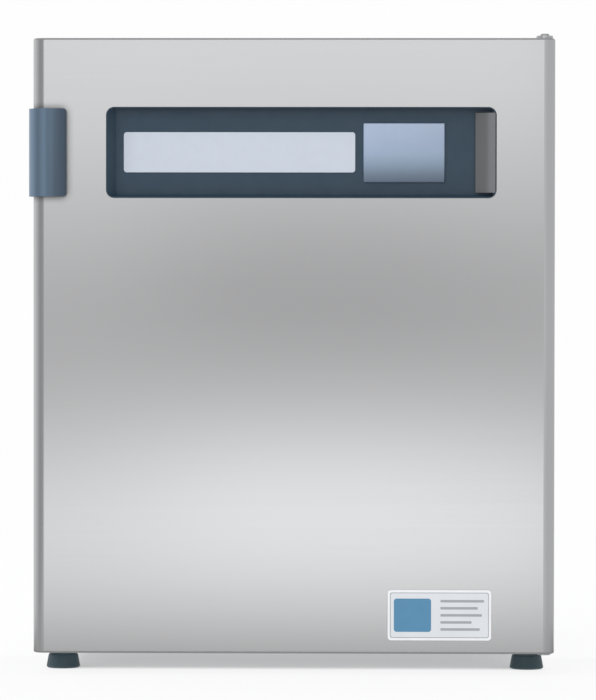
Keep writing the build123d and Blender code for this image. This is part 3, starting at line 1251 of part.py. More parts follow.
HEAD_R = 6.2
HEAD_HEIGHT = 2.9
HEAD_EDGE = 0.8
PIN_TOP = TOP_Z + BRACKET_GAP + TOP_BRACKET_T
with BuildPart() as hinge_pins:
    with BuildSketch(level(DOOR_TOP - SOCKET_LENGTH + 2)):
        with Locations((DOOR_AXIS_X, DOOR_AXIS_Y)):
            Circle(PIN_R)
    extrude(amount=PIN_TOP - DOOR_TOP + SOCKET_LENGTH - 2)
    with BuildSketch(level(PIN_TOP)):
        with Locations((DOOR_AXIS_X, DOOR_AXIS_Y)):
            RegularPolygon(HEAD_R, 6)
    extrude(amount=HEAD_HEIGHT)
    chamfer(hinge_pins.faces().sort_by(Axis.Z)[-1].edges(), HEAD_EDGE)
    with BuildSketch(level(BOTTOM_BRACKET_Z)):
        with Locations((DOOR_AXIS_X, DOOR_AXIS_Y)):
            Circle(PIN_R)
    extrude(amount=SOCKET_LENGTH)
write(hinge_pins, "hinge_pins")

# ================================================================ inner glass door
PANE_HALF = 313.0
PANE_HEIGHT = CHAMBER_HEIGHT + 26.0
PANE_T = 5.0
PANE_FRONT = CAB_FRONT - 14.0
PANE_BACK = PANE_FRONT + PANE_T
CLAMP_HEIGHT = 40.0
CLAMP_DZ = 255.0
CLAMP_ZS = (CHAMBER_MID_Z - CLAMP_DZ, CHAMBER_MID_Z + CLAMP_DZ)
CLAMP_LEFT = 292.0
CLAMP_RIGHT = GLASS_AXIS_X + 8.0
CLAMP_FRONT = CAB_FRONT - 18.0
CLAMP_BACK = CAB_FRONT - 6.0
GLASS_PIN_R = 3.0
LATCH_X = -288.0
LATCH_Z = CHAMBER_MID_Z
LATCH_PIVOT_R = 5.0
PANE_CORNER = 8.0
PANE_EDGE = 0.6
SEAL_INSET = (1.0, 4.0)  # the seal stays this far inside the pane, at the sides and above and below
SEAL_GAP = 0.5

with BuildPart() as glass_pane:
    with BuildSketch(front(PANE_BACK)):
        with Locations((0, CHAMBER_MID_Z)):
            RectangleRounded(2 * PANE_HALF, PANE_HEIGHT, PANE_CORNER)
        with Locations((LATCH_X, LATCH_Z)):
            Circle(LATCH_PIVOT_R + 0.1, mode=Mode.SUBTRACT)
    extrude(amount=PANE_T)
    chamfer(glass_pane.edges().group_by(Axis.Y)[0], PANE_EDGE)
write(glass_pane, "glass_pane")

with BuildPart() as glass_door_seal:
    with BuildSketch(front(PANE_BACK)):
        with Locations((0, CHAMBER_MID_Z)):
            RectangleRounded(
                2 * (PANE_HALF - SEAL_INSET[0]), PANE_HEIGHT - 2 * SEAL_INSET[1], CHAMBER_CORNER + 4
            )
            RectangleRounded(
                CHAMBER_WIDTH + 2 * SEAL_GAP,
                CHAMBER_HEIGHT + 2 * SEAL_GAP,
                CHAMBER_CORNER,
                mode=Mode.SUBTRACT,
            )
        for z in CLAMP_ZS:
            with Locations((PANE_HALF, z)):
                Rectangle(2 * (PANE_HALF - CLAMP_LEFT) + 2, CLAMP_HEIGHT + 2, mode=Mode.SUBTRACT)
    extrude(amount=-(CAB_FRONT - SEAL_GAP - PANE_BACK))
write(glass_door_seal, "glass_door_seal")

with BuildPart() as glass_hinge_clamps:
    for z in CLAMP_ZS:
        with BuildSketch(level(z - CLAMP_HEIGHT / 2)):
            with Locations(((CLAMP_LEFT + CLAMP_RIGHT) / 2, (CLAMP_FRONT + CLAMP_BACK) / 2)):
                RectangleRounded(CLAMP_RIGHT - CLAMP_LEFT, CLAMP_BACK - CLAMP_FRONT, 2.5)
            with Locations(((CLAMP_LEFT + PANE_HALF) / 2 - 5, (PANE_FRONT + PANE_BACK) / 2)):
                Rectangle(PANE_HALF - CLAMP_LEFT + 10.2, PANE_T + 0.1, mode=Mode.SUBTRACT)
            with Locations((GLASS_AXIS_X, GLASS_AXIS_Y)):
                Circle(GLASS_PIN_R + PIN_FIT, mode=Mode.SUBTRACT)
        extrude(amount=CLAMP_HEIGHT)
write(glass_hinge_clamps, "glass_hinge_clamps")

ARM_T = 4.0
ARM_GAP = 0.5
ARM_WIDTH = 14.0
ARM_DEPTH = 17.0
ARM_FOOT_HEIGHT = 28.0
ARM_FOOT_T = 2.5
with BuildPart() as glass_hinge_brackets:
    for z, way in zip(CLAMP_ZS, (-1, 1)):
        arm_z = z + way * (CLAMP_HEIGHT / 2 + ARM_GAP)
        with BuildSketch(level(arm_z)):
            with Locations((GLASS_AXIS_X, CAB_FRONT - ARM_DEPTH / 2)):
                RectangleRounded(ARM_WIDTH, ARM_DEPTH, 3)
        extrude(amount=way * ARM_T)
        with BuildSketch(front(CAB_FRONT)):
            with Locations((GLASS_AXIS_X, arm_z + way * ARM_FOOT_HEIGHT / 2)):
                RectangleRounded(ARM_WIDTH, ARM_FOOT_HEIGHT, 2)
        extrude(amount=ARM_FOOT_T)
        with BuildSketch(level(arm_z)):
            with Locations((GLASS_AXIS_X, GLASS_AXIS_Y)):
                Circle(GLASS_PIN_R)
        extrude(amount=-way * (CLAMP_HEIGHT - 6))
write(glass_hinge_brackets, "glass_hinge_brackets")

# latch: the tongue turns behind the keeper's lip; at rest it points down, unlocked
TONGUE_LENGTH = 42.0
TONGUE_BACK = PANE_FRONT - 1.0
TONGUE_FRONT = TONGUE_BACK - 4.5
TONGUE_WIDTH = 13.0
HUB_DISC_R = 13.0
HUB_DISC_T = 8.0
GRIP_SIZE = (14.0, 62.0)
GRIP_RISE = 20.0
GRIP_T = 7.0
GRIP_EDGE = 2.5
PIVOT_WASHER_R = 9.0
PIVOT_WASHER_T = 3.0
with BuildPart() as latch_lever:
    with BuildSketch(front(TONGUE_BACK)):
        with Locations((LATCH_X, LATCH_Z - TONGUE_LENGTH / 2 + 3)):
            RectangleRounded(TONGUE_WIDTH, TONGUE_LENGTH + 6, 6)
    extrude(amount=TONGUE_BACK - TONGUE_FRONT)
    with BuildSketch(front(TONGUE_BACK)):
        with Locations((LATCH_X, LATCH_Z)):
            Circle(HUB_DISC_R)
    extrude(amount=HUB_DISC_T)
    with BuildSketch(front(TONGUE_FRONT)):
        with Locations((LATCH_X, LATCH_Z + GRIP_RISE)):
            RectangleRounded(*GRIP_SIZE, 6.5)
    extrude(amount=GRIP_T)
    fillet(latch_lever.faces().sort_by(Axis.Y)[0].edges(), GRIP_EDGE)
    with BuildSketch(front(TONGUE_BACK - 1)):
        with Locations((LATCH_X, LATCH_Z)):
            Circle(LATCH_PIVOT_R)
    extrude(amount=-(PANE_T + 3))
    with BuildSketch(front(PANE_BACK + 0.6)):
        with Locations((LATCH_X, LATCH_Z)):
            Circle(PIVOT_WASHER_R)
    extrude(amount=-PIVOT_WASHER_T)
write(latch_lever, "latch_lever")

KEEPER_RIGHT = -PANE_HALF - 5.0
KEEPER_LEFT = -RECESS_HALF + 6.0
KEEPER_HEIGHT = 22.0
KEEPER_WEB = 4.0
LIP_FRONT = TONGUE_FRONT - 4.5
LIP_BACK = TONGUE_FRONT - 1.0
SEAT_FRONT = TONGUE_BACK + 1.5
with BuildPart() as latch_keeper:
    with BuildSketch(level(LATCH_Z - KEEPER_HEIGHT / 2)):
        with BuildLine():
            Polyline(
                (KEEPER_LEFT, CAB_FRONT),
                (KEEPER_LEFT, LIP_FRONT),
                (KEEPER_RIGHT, LIP_FRONT),
                (KEEPER_RIGHT, LIP_BACK),
                (KEEPER_LEFT + KEEPER_WEB, LIP_BACK),
                (KEEPER_LEFT + KEEPER_WEB, SEAT_FRONT),
                (KEEPER_RIGHT, SEAT_FRONT),
                (KEEPER_RIGHT, CAB_FRONT),
                close=True,
            )
        make_face()
    extrude(amount=KEEPER_HEIGHT)
    fillet(latch_keeper.edges().filter_by(Axis.Z).group_by(Axis.Y)[0], 1.2)
write(latch_keeper, "latch_keeper")

# ================================================================ levelling feet
PAD_R = 25.6
PAD_TOP_R = 22.4
PAD_HEIGHT = 19.8
PAD_CHAMFER = 2.0
NECK_R = 21.2
NECK_STEP = 0.8
NECK_TOP = BASE_Z - 0.4
STUD_TOP = BUSH_TOP - 1.0
STUD_CHAMFER = 1.0


def foot(spot):
    """A moulded pad, wider at the floor, on a threaded stud."""
    with BuildPart() as pad:
        middle = (CENTRE_X + spot[0], spot[1], 0)
        with BuildSketch(Plane(origin=middle, x_dir=(1, 0, 0), z_dir=(0, -1, 0))):
            with BuildLine():
                Polyline(
                    (0, 0),
                    (PAD_R - PAD_CHAMFER, 0),
                    (PAD_R, PAD_CHAMFER),
                    (PAD_TOP_R, PAD_HEIGHT),
                    (NECK_R, PAD_HEIGHT + NECK_STEP),
                    (NECK_R, NECK_TOP),
                    (STUD_R, NECK_TOP),
                    (STUD_R, STUD_TOP - STUD_CHAMFER),
                    (STUD_R - STUD_CHAMFER, STUD_TOP),
                    (0, STUD_TOP),
                    close=True,
                )
            make_face()
        revolve(axis=Axis(middle, (0, 0, 1)))
    return pad


for corner_name, spot in FOOT_SPOTS.items():
    write(foot(spot), f"foot_{corner_name}")
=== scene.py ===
"""Looks for the laboratory incubator: materials, small fittings, a soft studio and the camera.

Metres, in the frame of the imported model: +X is right, +Y is back, +Z is up.
"""

import json
import math

import bmesh
import bpy
from mathutils import Matrix, Vector


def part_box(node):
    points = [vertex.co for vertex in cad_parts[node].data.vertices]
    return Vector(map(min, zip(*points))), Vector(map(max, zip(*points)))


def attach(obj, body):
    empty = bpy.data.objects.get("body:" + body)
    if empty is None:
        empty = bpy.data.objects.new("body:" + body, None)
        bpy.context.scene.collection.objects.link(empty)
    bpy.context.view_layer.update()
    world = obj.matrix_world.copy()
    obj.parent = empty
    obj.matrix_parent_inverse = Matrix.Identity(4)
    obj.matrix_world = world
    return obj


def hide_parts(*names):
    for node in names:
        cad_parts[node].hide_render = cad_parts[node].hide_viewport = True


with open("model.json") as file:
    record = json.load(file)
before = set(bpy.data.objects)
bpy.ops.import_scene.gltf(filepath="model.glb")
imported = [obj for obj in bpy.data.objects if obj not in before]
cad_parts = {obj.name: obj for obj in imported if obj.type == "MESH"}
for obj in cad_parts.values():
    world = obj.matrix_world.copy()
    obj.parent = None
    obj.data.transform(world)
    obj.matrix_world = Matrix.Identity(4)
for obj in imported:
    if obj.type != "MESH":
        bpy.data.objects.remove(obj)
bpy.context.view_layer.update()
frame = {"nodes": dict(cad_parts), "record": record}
MM = 0.001


# ---------------------------------------------------------------- material helpers
class Look:
    """A Principled material with short calls for its procedural inputs."""

    def __init__(self, name, colour, roughness, metallic=0.0, **sockets):
        self.material = bpy.data.materials.new(name)
        self.material.use_nodes = True
        self.nodes = self.material.node_tree.nodes
        self.links = self.material.node_tree.links
        self.shader = self.nodes["Principled BSDF"]
        self.shader.inputs["Base Color"].default_value = (*colour, 1.0)
        self.shader.inputs["Roughness"].default_value = roughness
        self.shader.inputs["Metallic"].default_value = metallic
        for socket, value in sockets.items():
            self.shader.inputs[socket.replace("_", " ")].default_value = value
        self.coordinates = self.nodes.new("ShaderNodeTexCoord")
        self.height = None

    def link(self, output, node_input):
        self.links.new(output, node_input)

    def place(self, scale, offset=(0, 0, 0)):
        """Object coordinates, in metres, times scale."""
        mapping = self.nodes.new("ShaderNodeMapping")
        mapping.inputs["Scale"].default_value = scale
        mapping.inputs["Location"].default_value = offset
        self.link(self.coordinates.outputs["Object"], mapping.inputs["Vector"])
        return mapping.outputs["Vector"]

    def noise(self, scale, detail=3.0, rough=0.5):
        """Noise with so many cells a metre along x, y and z."""
        texture = self.nodes.new("ShaderNodeTexNoise")
        texture.inputs["Scale"].default_value = 1.0
        texture.inputs["Detail"].default_value = detail
        texture.inputs["Roughness"].default_value = rough
        self.link(self.place(scale), texture.inputs["Vector"])
        return texture.outputs["Fac"]

    def cells(self, size):
        """Voronoi distance, for pores and grain of that size in metres."""
        texture = self.nodes.new("ShaderNodeTexVoronoi")
        texture.inputs["Scale"].default_value = 1.0 / size
        self.link(self.coordinates.outputs["Object"], texture.inputs["Vector"])
        return texture.outputs["Distance"]

    def ramp(self, value, stops, smooth=False):
        """Colour or grey by value; stops are (position, grey or colour)."""
        node = self.nodes.new("ShaderNodeValToRGB")
        if smooth:
            node.color_ramp.interpolation = "EASE"
        elements = node.color_ramp.elements
        while len(elements) < len(stops):
            elements.new(0.5)
        for element, (position, colour) in zip(elements, stops):
            element.position = position
            grey = isinstance(colour, (int, float))
            element.color = (colour,) * 3 + (1.0,) if grey else (*colour, 1.0)
        self.link(value, node.inputs["Fac"])
        return node.outputs["Color"]

    def span(self, axis, low, high):
        """0 at low to 1 at high along an axis, in metres."""
        split = self.nodes.new("ShaderNodeSeparateXYZ")
        self.link(self.coordinates.outputs["Object"], split.inputs["Vector"])
        node = self.nodes.new("ShaderNodeMapRange")
        node.inputs["From Min"].default_value = low
        node.inputs["From Max"].default_value = high
        self.link(split.outputs[axis], node.inputs["Value"])
        return node.outputs["Result"]

    def mix(self, factor, first, second, blend="MIX"):
        node = self.nodes.new("ShaderNodeMix")
        node.data_type = "RGBA"
        node.blend_type = blend
        for socket, value in ((node.inputs[0], factor), (node.inputs[6], first), (node.inputs[7], second)):
            if isinstance(value, (int, float)):
                socket.default_value = value
            elif isinstance(value, tuple):
                socket.default_value = (*value, 1.0)
            else:
                self.link(value, socket)
        return node.outputs[2]

    def colour(self, output):
        self.link(output, self.shader.inputs["Base Color"])
        return self

    def mottle(self, colour, amount, scale, detail=3.0):
        """Base colour that wanders by amount either way."""
        stops = [(0.3, shade(colour, 1 - amount)), (0.7, shade(colour, 1 + amount))]
        return self.colour(self.ramp(self.noise(scale, detail), stops))

    def rough(self, value, low, high):
        self.link(self.ramp(value, [(0.3, low), (0.7, high)]), self.shader.inputs["Roughness"])
        return self

    def bump(self, value, depth, strength=1.0):
        """Relief of that depth in metres; a second call adds to the first."""
        node = self.nodes.new("ShaderNodeBump")
        node.inputs["Strength"].default_value = strength
        node.inputs["Distance"].default_value = depth
        self.link(value, node.inputs["Height"])
        if self.height is not None:
            self.link(self.height, node.inputs["Normal"])
        self.height = node.outputs["Normal"]
        self.link(self.height, self.shader.inputs["Normal"])
        return self


def shade(colour, factor):
    return tuple(min(1.0, channel * factor) for channel in colour)


def even(scale):
    return (scale, scale, scale)


# ---------------------------------------------------------------- materials
# cells a metre along x, y and z: close up and down the face, long across it
FINE_GRAIN = (5, 5, 1400)
BROAD_GRAIN = (1.5, 1.5, 160)
GLOSS_GRAIN = (2, 2, 700)
SCRATCHES = (4, 4, 2600)
BROAD_SHARE = 0.25
SHEET_WAVES = 2.2
# painted contact shadow: the steel's tone by how open the surface is, darker where other pieces stand close
PAINTED_CONTACT_SHADE = [(0.5, 0.42), (0.95, 1.0)]  # tone by how open the surface is


def brushed(name, colour, roughness, streak, depth, contact=0.0):
    """Rolled or brushed steel whose grain runs round the box, across every upright face.

    Within the distance contact of another piece its colour darkens by ambient occlusion: a painted contact
    shadow.
    """
    look = Look(name, colour, roughness, 1.0, Anisotropic=0.5, Anisotropic_Rotation=0.25)
    tangent = look.nodes.new("ShaderNodeTangent")
    tangent.direction_type = "RADIAL"
    tangent.axis = "Z"
    look.link(tangent.outputs["Tangent"], look.shader.inputs["Tangent"])
    fine = look.noise(FINE_GRAIN, 4.0, 0.65)
    broad = look.noise(BROAD_GRAIN, 2.0)
    tone = look.mix(BROAD_SHARE, fine, broad)
    steel = look.ramp(tone, [(0.3, shade(colour, 1 - streak)), (0.7, shade(colour, 1 + streak))])
    # painted shade: within the contact distance the steel's colour is multiplied darker by ambient occlusion
    if contact:
        painted_shade_ao = look.nodes.new("ShaderNodeAmbientOcclusion")
        painted_shade_ao.samples = 8
        painted_shade_ao.inputs["Distance"].default_value = contact
        steel = look.mix(1.0, steel, look.ramp(painted_shade_ao.outputs["AO"], PAINTED_CONTACT_SHADE), "MULTIPLY")
    look.colour(steel)
    look.rough(look.noise(GLOSS_GRAIN, 2.0), roughness * 0.97, roughness * 1.03)
    look.bump(look.noise(SCRATCHES, 2.0), depth, 0.2)
    look.bump(look.noise(even(SHEET_WAVES), 1.0), 0.3 * MM, 0.15)
    return look


def moulded(name, colour, roughness, grain=0.5 * MM, depth=0.02 * MM, **sockets):
    """Moulded plastic with a fine spark-eroded grain and faint wear in its gloss."""
    look = Look(name, colour, roughness, **sockets)
    look.mottle(colour, 0.02, even(35))
    look.rough(look.noise(even(60), 4.0), roughness * 0.85, roughness * 1.15)
    look.bump(look.cells(grain), depth, 0.6)
    return look


def satin(name, colour, roughness, across, **sockets):
    """Smooth satin moulding, almost free of grain, whose colour carries painted highlights and shade across a
    CAD node's width.

    The tones reach past 1, so the ramp holds half of each and the colour is doubled.
    """
    node, painted_light_tones = across
    low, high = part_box(node)
    look = Look(name, colour, roughness, **sockets)
    cloud = look.ramp(look.noise(even(12)), [(0.3, shade(colour, 0.985)), (0.7, shade(colour, 1.015))])
    # painted highlights and shade: the colour is made brighter or darker across the width, as light would
    # fall on a curved face
    stops = [(at, tone / 2) for at, tone in painted_light_tones]
    tone = look.ramp(look.span("X", low.x, high.x), stops, smooth=True)
    doubled = look.mix(1.0, cloud, even(2.0), "MULTIPLY")
    look.colour(look.mix(1.0, doubled, tone, "MULTIPLY"))
    look.rough(look.noise(even(25)), roughness * 0.95, roughness * 1.05)
    look.bump(look.noise(even(900), 2.0), 0.004 * MM, 0.3)
    return look


SPANGLE_SIZE = 7 * MM


def plated(name, colour, roughness, spangle=0.0):
    """Turned, plated or zinc-coated metal."""
    look = Look(name, colour, roughness, 1.0)
    if spangle:
        stops = [(0.1, shade(colour, 1 - spangle)), (0.7, shade(colour, 1 + spangle))]
        look.colour(look.ramp(look.cells(SPANGLE_SIZE), stops))
    else:
        look.mottle(colour, 0.06, even(120))
    look.rough(look.noise(even(220), 4.0), roughness * 0.8, roughness * 1.2)
    look.bump(look.noise(even(900), 2.0), 0.01 * MM)
    return look


def painted(name, colour):
    """Powder coat over sheet steel, with its fine orange peel."""
    look = Look(name, colour, 0.42, 0.0, Coat_Weight=0.15, Coat_Roughness=0.3)
    look.mottle(colour, 0.01, even(9))
    look.rough(look.noise(even(30)), 0.38, 0.47)
    look.bump(look.noise(even(650), 2.0), 0.05 * MM, 0.5)
    look.bump(look.noise(even(3), 1.0), 0.4 * MM, 0.2)
    return look


def rubber(name, colour, roughness=0.6, **sockets):
    look = Look(name, colour, roughness, 0.0, **sockets)
    look.mottle(colour, 0.08, even(70))
    look.rough(look.noise(even(150)), roughness * 0.9, min(1.0, roughness * 1.15))
    look.bump(look.noise(even(1200), 3.0), 0.02 * MM, 0.7)
    return look


def fibrous(name, colour):
    """Foam or pleated paper: open, matt and a little uneven."""
    look = Look(name, colour, 0.9)
    look.mottle(colour, 0.07, even(160), 6.0)
    look.bump(look.cells(1.6 * MM), 0.25 * MM)
    look.bump(look.noise(even(500), 5.0), 0.08 * MM)
    return look


def circuit_board():
    """Green solder mask with fine copper runs showing through."""
    green = (0.012, 0.085, 0.035)
    copper = (0.05, 0.16, 0.07)
    look = Look("circuit_board", green, 0.35, 0.0, Coat_Weight=0.3, Coat_Roughness=0.15)
    runs = look.nodes.new("ShaderNodeTexBrick")
    runs.inputs["Scale"].default_value = 220.0
    runs.inputs["Mortar Size"].default_value = 0.03
    runs.inputs["Color1"].default_value = (*green, 1.0)
    runs.inputs["Color2"].default_value = (*shade(green, 0.85), 1.0)
    runs.inputs["Mortar"].default_value = (*copper, 1.0)
    turned = look.place((1, 1, 1))
    turned.node.inputs["Rotation"].default_value = (math.radians(90), 0, 0)
    look.link(turned, runs.inputs["Vector"])
    look.colour(runs.outputs["Color"])
    look.bump(runs.outputs["Fac"], 0.03 * MM)
    look.rough(look.noise(even(200)), 0.3, 0.42)
    return look


def clear_glass():
    """Toughened float glass, green in its depth, with faint wiping marks."""
    look = Look("clear_glass", (0.93, 0.975, 0.955), 0.02, 0.0, Transmission_Weight=1.0, IOR=1.45)
    look.colour(look.ramp(look.noise(even(2)), [(0.3, (0.92, 0.97, 0.95)), (0.7, (0.95, 0.985, 0.97))]))
    look.rough(look.noise((4, 4, 40), 4.0), 0.012, 0.05)
    return look


def screen_glass():
    """The display's cover glass: pale blue with a painted reflection of the studio, falling off into painted
    shade towards the lower edge.
    """
    low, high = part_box("touch_screen")
    stops = [(0.0, (0.075, 0.105, 0.16)), (0.13, (0.12, 0.165, 0.225)), (0.30, (0.205, 0.275, 0.37)),
             (0.48, (0.275, 0.355, 0.475)), (0.78, (0.325, 0.40, 0.54)), (1.0, (0.36, 0.435, 0.575))]
    look = Look("screen_glass", (0.395, 0.482, 0.625), 0.16, 0.0, Coat_Weight=0.35, Coat_Roughness=0.08)
    # painted reflection: brighter upward, with painted shade at the lower edge
    painted_reflection = look.ramp(look.span("Z", low.z, high.z), stops)
    # painted shade: a little darker towards the right end
    across = look.ramp(look.span("X", low.x, high.x), [(0.0, 0.99), (1.0, 0.89)])
    shaded = look.mix(1.0, painted_reflection, across, "MULTIPLY")
    grain = look.ramp(look.noise(even(40)), [(0.3, 0.985), (0.7, 1.015)])
    look.colour(look.mix(1.0, shaded, grain, "MULTIPLY"))
    look.rough(look.noise((30, 30, 90), 4.0), 0.13, 0.2)
    look.bump(look.noise(even(6), 1.0), 0.1 * MM, 0.15)
    return look


def name_plate():
    """Silk-lacquered plate, left blank, a touch darker at its left end."""
    low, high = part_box("name_plate")
    colour = (0.505, 0.55, 0.62)
    look = Look("plate_plastic", colour, 0.38, 0.0, Coat_Weight=0.1, Coat_Roughness=0.25)
    ends = look.ramp(look.span("X", low.x, high.x), [(0.0, 0.90), (0.06, 0.975), (0.5, 1.0), (1.0, 1.01)])
    tone = look.ramp(look.noise(even(60), 4.0), [(0.3, shade(colour, 0.985)), (0.7, shade(colour, 1.015))])
    look.colour(look.mix(1.0, tone, ends, "MULTIPLY"))
    look.rough(look.noise(even(90)), 0.34, 0.43)
    look.bump(look.noise(even(1500), 2.0), 0.01 * MM, 0.6)
    return look


# painted light on the handle: a bright left edge, a painted highlight on its crown and painted shade towards
# its right end
HANDLE_PAINTED_LIGHT = [(0.0, 2.0), (0.09, 1.75), (0.25, 1.22), (0.42, 1.9), (0.58, 1.15), (0.75, 0.86), (0.92, 0.84),
                (1.0, 0.66)]
# painted highlight on the USB flap: its right third lighter, as if lit on a curve
FLAP_PAINTED_LIGHT = [(0.0, 0.94), (0.45, 0.99), (0.75, 1.5), (1.0, 1.55)]
LOOKS = {
    "brushed_stainless": brushed("brushed_stainless", (0.575, 0.578, 0.585), 0.2, 0.016, 0.01 * MM, 12 * MM),
    "chamber_stainless": brushed("chamber_stainless", (0.62, 0.625, 0.63), 0.27, 0.03, 0.01 * MM),
    "coated_steel": painted("coated_steel", (0.545, 0.56, 0.57)),
    "zinc_steel": plated("zinc_steel", (0.55, 0.56, 0.57), 0.36, 0.05),
    "pin_steel": plated("pin_steel", (0.36, 0.364, 0.37), 0.24),
    "nickel_brass": plated("nickel_brass", (0.66, 0.60, 0.46), 0.22),
    "frame_moulding": moulded("frame_moulding", (0.66, 0.675, 0.69), 0.42),
    "insulation_foam": fibrous("insulation_foam", (0.60, 0.56, 0.42)),
    "filter_paper": fibrous("filter_paper", (0.82, 0.82, 0.79)),
    "motor_housing": plated("motor_housing", (0.32, 0.33, 0.34), 0.5),
    "white_plastic": moulded("white_plastic", (0.74, 0.75, 0.75), 0.4),
    "silicone_rubber": rubber(
        "silicone_rubber", (0.66, 0.68, 0.68), 0.5, Subsurface_Weight=0.15, Subsurface_Scale=4 * MM
    ),
    "black_rubber": rubber("black_rubber", (0.018, 0.018, 0.018)),
    "gasket_rubber": rubber("gasket_rubber", (0.16, 0.17, 0.18)),
    "circuit_board": circuit_board(),
    "black_plastic": moulded("black_plastic", (0.016, 0.016, 0.018), 0.5),
    "switch_plastic": moulded("switch_plastic", (0.018, 0.018, 0.02), 0.22, 0.3 * MM, 0.004 * MM),
    "bush_plastic": moulded("bush_plastic", (0.30, 0.31, 0.32), 0.4),
    "clear_glass": clear_glass(),
    "latch_plastic": moulded("latch_plastic", (0.035, 0.06, 0.085), 0.35),
    "liner_plastic": moulded("liner_plastic", (0.70, 0.715, 0.73), 0.36, 0.8 * MM, 0.015 * MM),
    "bezel_plastic": moulded("bezel_plastic", (0.018, 0.042, 0.068), 0.5, 0.45 * MM, 0.02 * MM),
    "plate_plastic": name_plate(),
    "screen_glass": screen_glass(),
    # the cover's and the handle's colours carry painted highlights and shade across their width
    "cover_satin": satin("cover_satin", (0.092, 0.096, 0.101), 0.36, across=("usb_cover", FLAP_PAINTED_LIGHT)),
    "handle_plastic": satin(
        "handle_plastic", (0.078, 0.115, 0.158), 0.24, across=("door_handle", HANDLE_PAINTED_LIGHT), metallic=0.5
    ),
    "label_film": moulded("label_film", (0.78, 0.79, 0.81), 0.3, 0.6 * MM, 0.003 * MM, Coat_Weight=0.2),
    "foot_plastic": moulded("foot_plastic", (0.034, 0.064, 0.079), 0.45, 0.5 * MM, 0.02 * MM),
    "print_grey": moulded("print_grey", (0.33, 0.35, 0.38), 0.45, 0.6 * MM, 0.002 * MM),
    "print_field": moulded("print_field", (0.66, 0.68, 0.71), 0.4, 0.6 * MM, 0.002 * MM),
    "print_blue": moulded("print_blue", (0.076, 0.23, 0.385), 0.4, 0.6 * MM, 0.002 * MM),
}


def dress(piece, name):
    """Gives a piece or a CAD node the material LOOKS[name] as its only one."""
    piece.data.materials.clear()
    piece.data.materials.append(LOOKS[name].material)


for part in frame["record"]["subparts"]:
    dress(frame["nodes"][part["node"]], part["material_slot"])


# ---------------------------------------------------------------- mesh helpers
def piece(name, bm, body, slot, look=None, angle=40):
    """Turns a bmesh built in place into a named piece that rides on a CAD body."""
    bmesh.ops.remove_doubles(bm, verts=bm.verts, dist=1e-7)
    bmesh.ops.recalc_face_normals(bm, faces=bm.faces)
    mesh = bpy.data.meshes.new(name)
    bm.to_mesh(mesh)
    bm.free()
    obj = bpy.data.objects.new(name, mesh)
    bpy.context.scene.collection.objects.link(obj)
    dress(obj, look or slot)
    for polygon in mesh.polygons:
        polygon.use_smooth = True
    mesh.set_sharp_from_angle(angle=math.radians(angle))
    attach(obj, body)
    return obj


def loft(bm, rings, capped=False):
    """Skins successive rings of points, each ring with the same count, and closes the ends if capped."""
    made = [[bm.verts.new(point) for point in ring] for ring in rings]
    count = len(rings[0])
    for low, high in zip(made, made[1:]):
        for i in range(count):
            j = (i + 1) % count
            bm.faces.new((low[i], low[j], high[j], high[i]))
    if capped:
        bm.faces.new(made[0])
        bm.faces.new(made[-1])


def rounded_outline(width, height, radius, steps=5):
    """Points round a rectangle with round corners, anticlockwise, with each point's outward normal."""
    outline = []
    for k, (sx, sy) in enumerate(((1, 1), (-1, 1), (-1, -1), (1, -1))):
        for i in range(steps + 1):
            angle = math.radians(90 * (k + i / steps))
            normal = Vector((math.cos(angle), math.sin(angle)))
            corner = Vector((sx * (width / 2 - radius), sy * (height / 2 - radius)))
            outline.append((corner + normal * radius, normal))
    return outline


def facing(centre, out, up=(0, 0, 1)):
    """Matrix whose local z points out of a face at centre, with local y along up."""
    z = Vector(out).normalized()
    x = Vector(up).cross(z).normalized()
    y = z.cross(x)
    return Matrix.Translation(Vector(centre)) @ Matrix((x, y, z)).transposed().to_4x4()


def tablet(bm, place, width, height, radius, thickness, edge=0.0):
    """A thin rounded plate standing out of a face, its rim eased by edge."""
    rings = []
    for inset, rise in ((0, 0), (0, thickness - edge), (edge, thickness)):
        outline = rounded_outline(width, height, radius)
        rings.append([place @ Vector((*(p - n * inset), rise)) for p, n in outline])
    loft(bm, rings, capped=True)


# shares of a screw head's radius and height
HEAD_PROFILE = [(1.0, 0.0), (1.0, 0.35), (0.93, 0.68), (0.75, 0.90), (0.55, 1.0)]
SOCKET_RADIUS = 0.46
SOCKET_RISE = (0.98, 0.3)  # its rim, then its floor


def screw_head(bm, place, radius, height, sides=24):
    """A low domed head with a six-sided socket."""
    rings = []
    turns = [2 * math.pi * i / sides for i in range(sides)]
    for share, h in HEAD_PROFILE:
        r = share * radius
        rings.append([place @ Vector((r * math.cos(t), r * math.sin(t), h * height)) for t in turns])
    for h in SOCKET_RISE:
        ring = []
        for t in turns:
            r = SOCKET_RADIUS * radius * math.cos(math.pi / 6) / math.cos((t % (math.pi / 3)) - math.pi / 6)
            ring.append(place @ Vector((r * math.cos(t), r * math.sin(t), h * height)))
        rings.append(ring)
    loft(bm, rings, capped=True)


def screws(name, spots, out, up, body, radius=3.6 * MM, height=1.9 * MM, slot="pin_steel"):
    bm = bmesh.new()
    for spot in spots:
        screw_head(bm, facing(spot, out, up), radius, height)
    return piece(name, bm, body, slot)


# ---------------------------------------------------------------- door seal
low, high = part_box("door_gasket")
SEAL_HALF = 7.0 * MM
SEAL_CORNER = 17 * MM
seal_depth = high.y - low.y
seal_width = (high.x - low.x) - 2 * SEAL_HALF
seal_height = (high.z - low.z) - 2 * SEAL_HALF
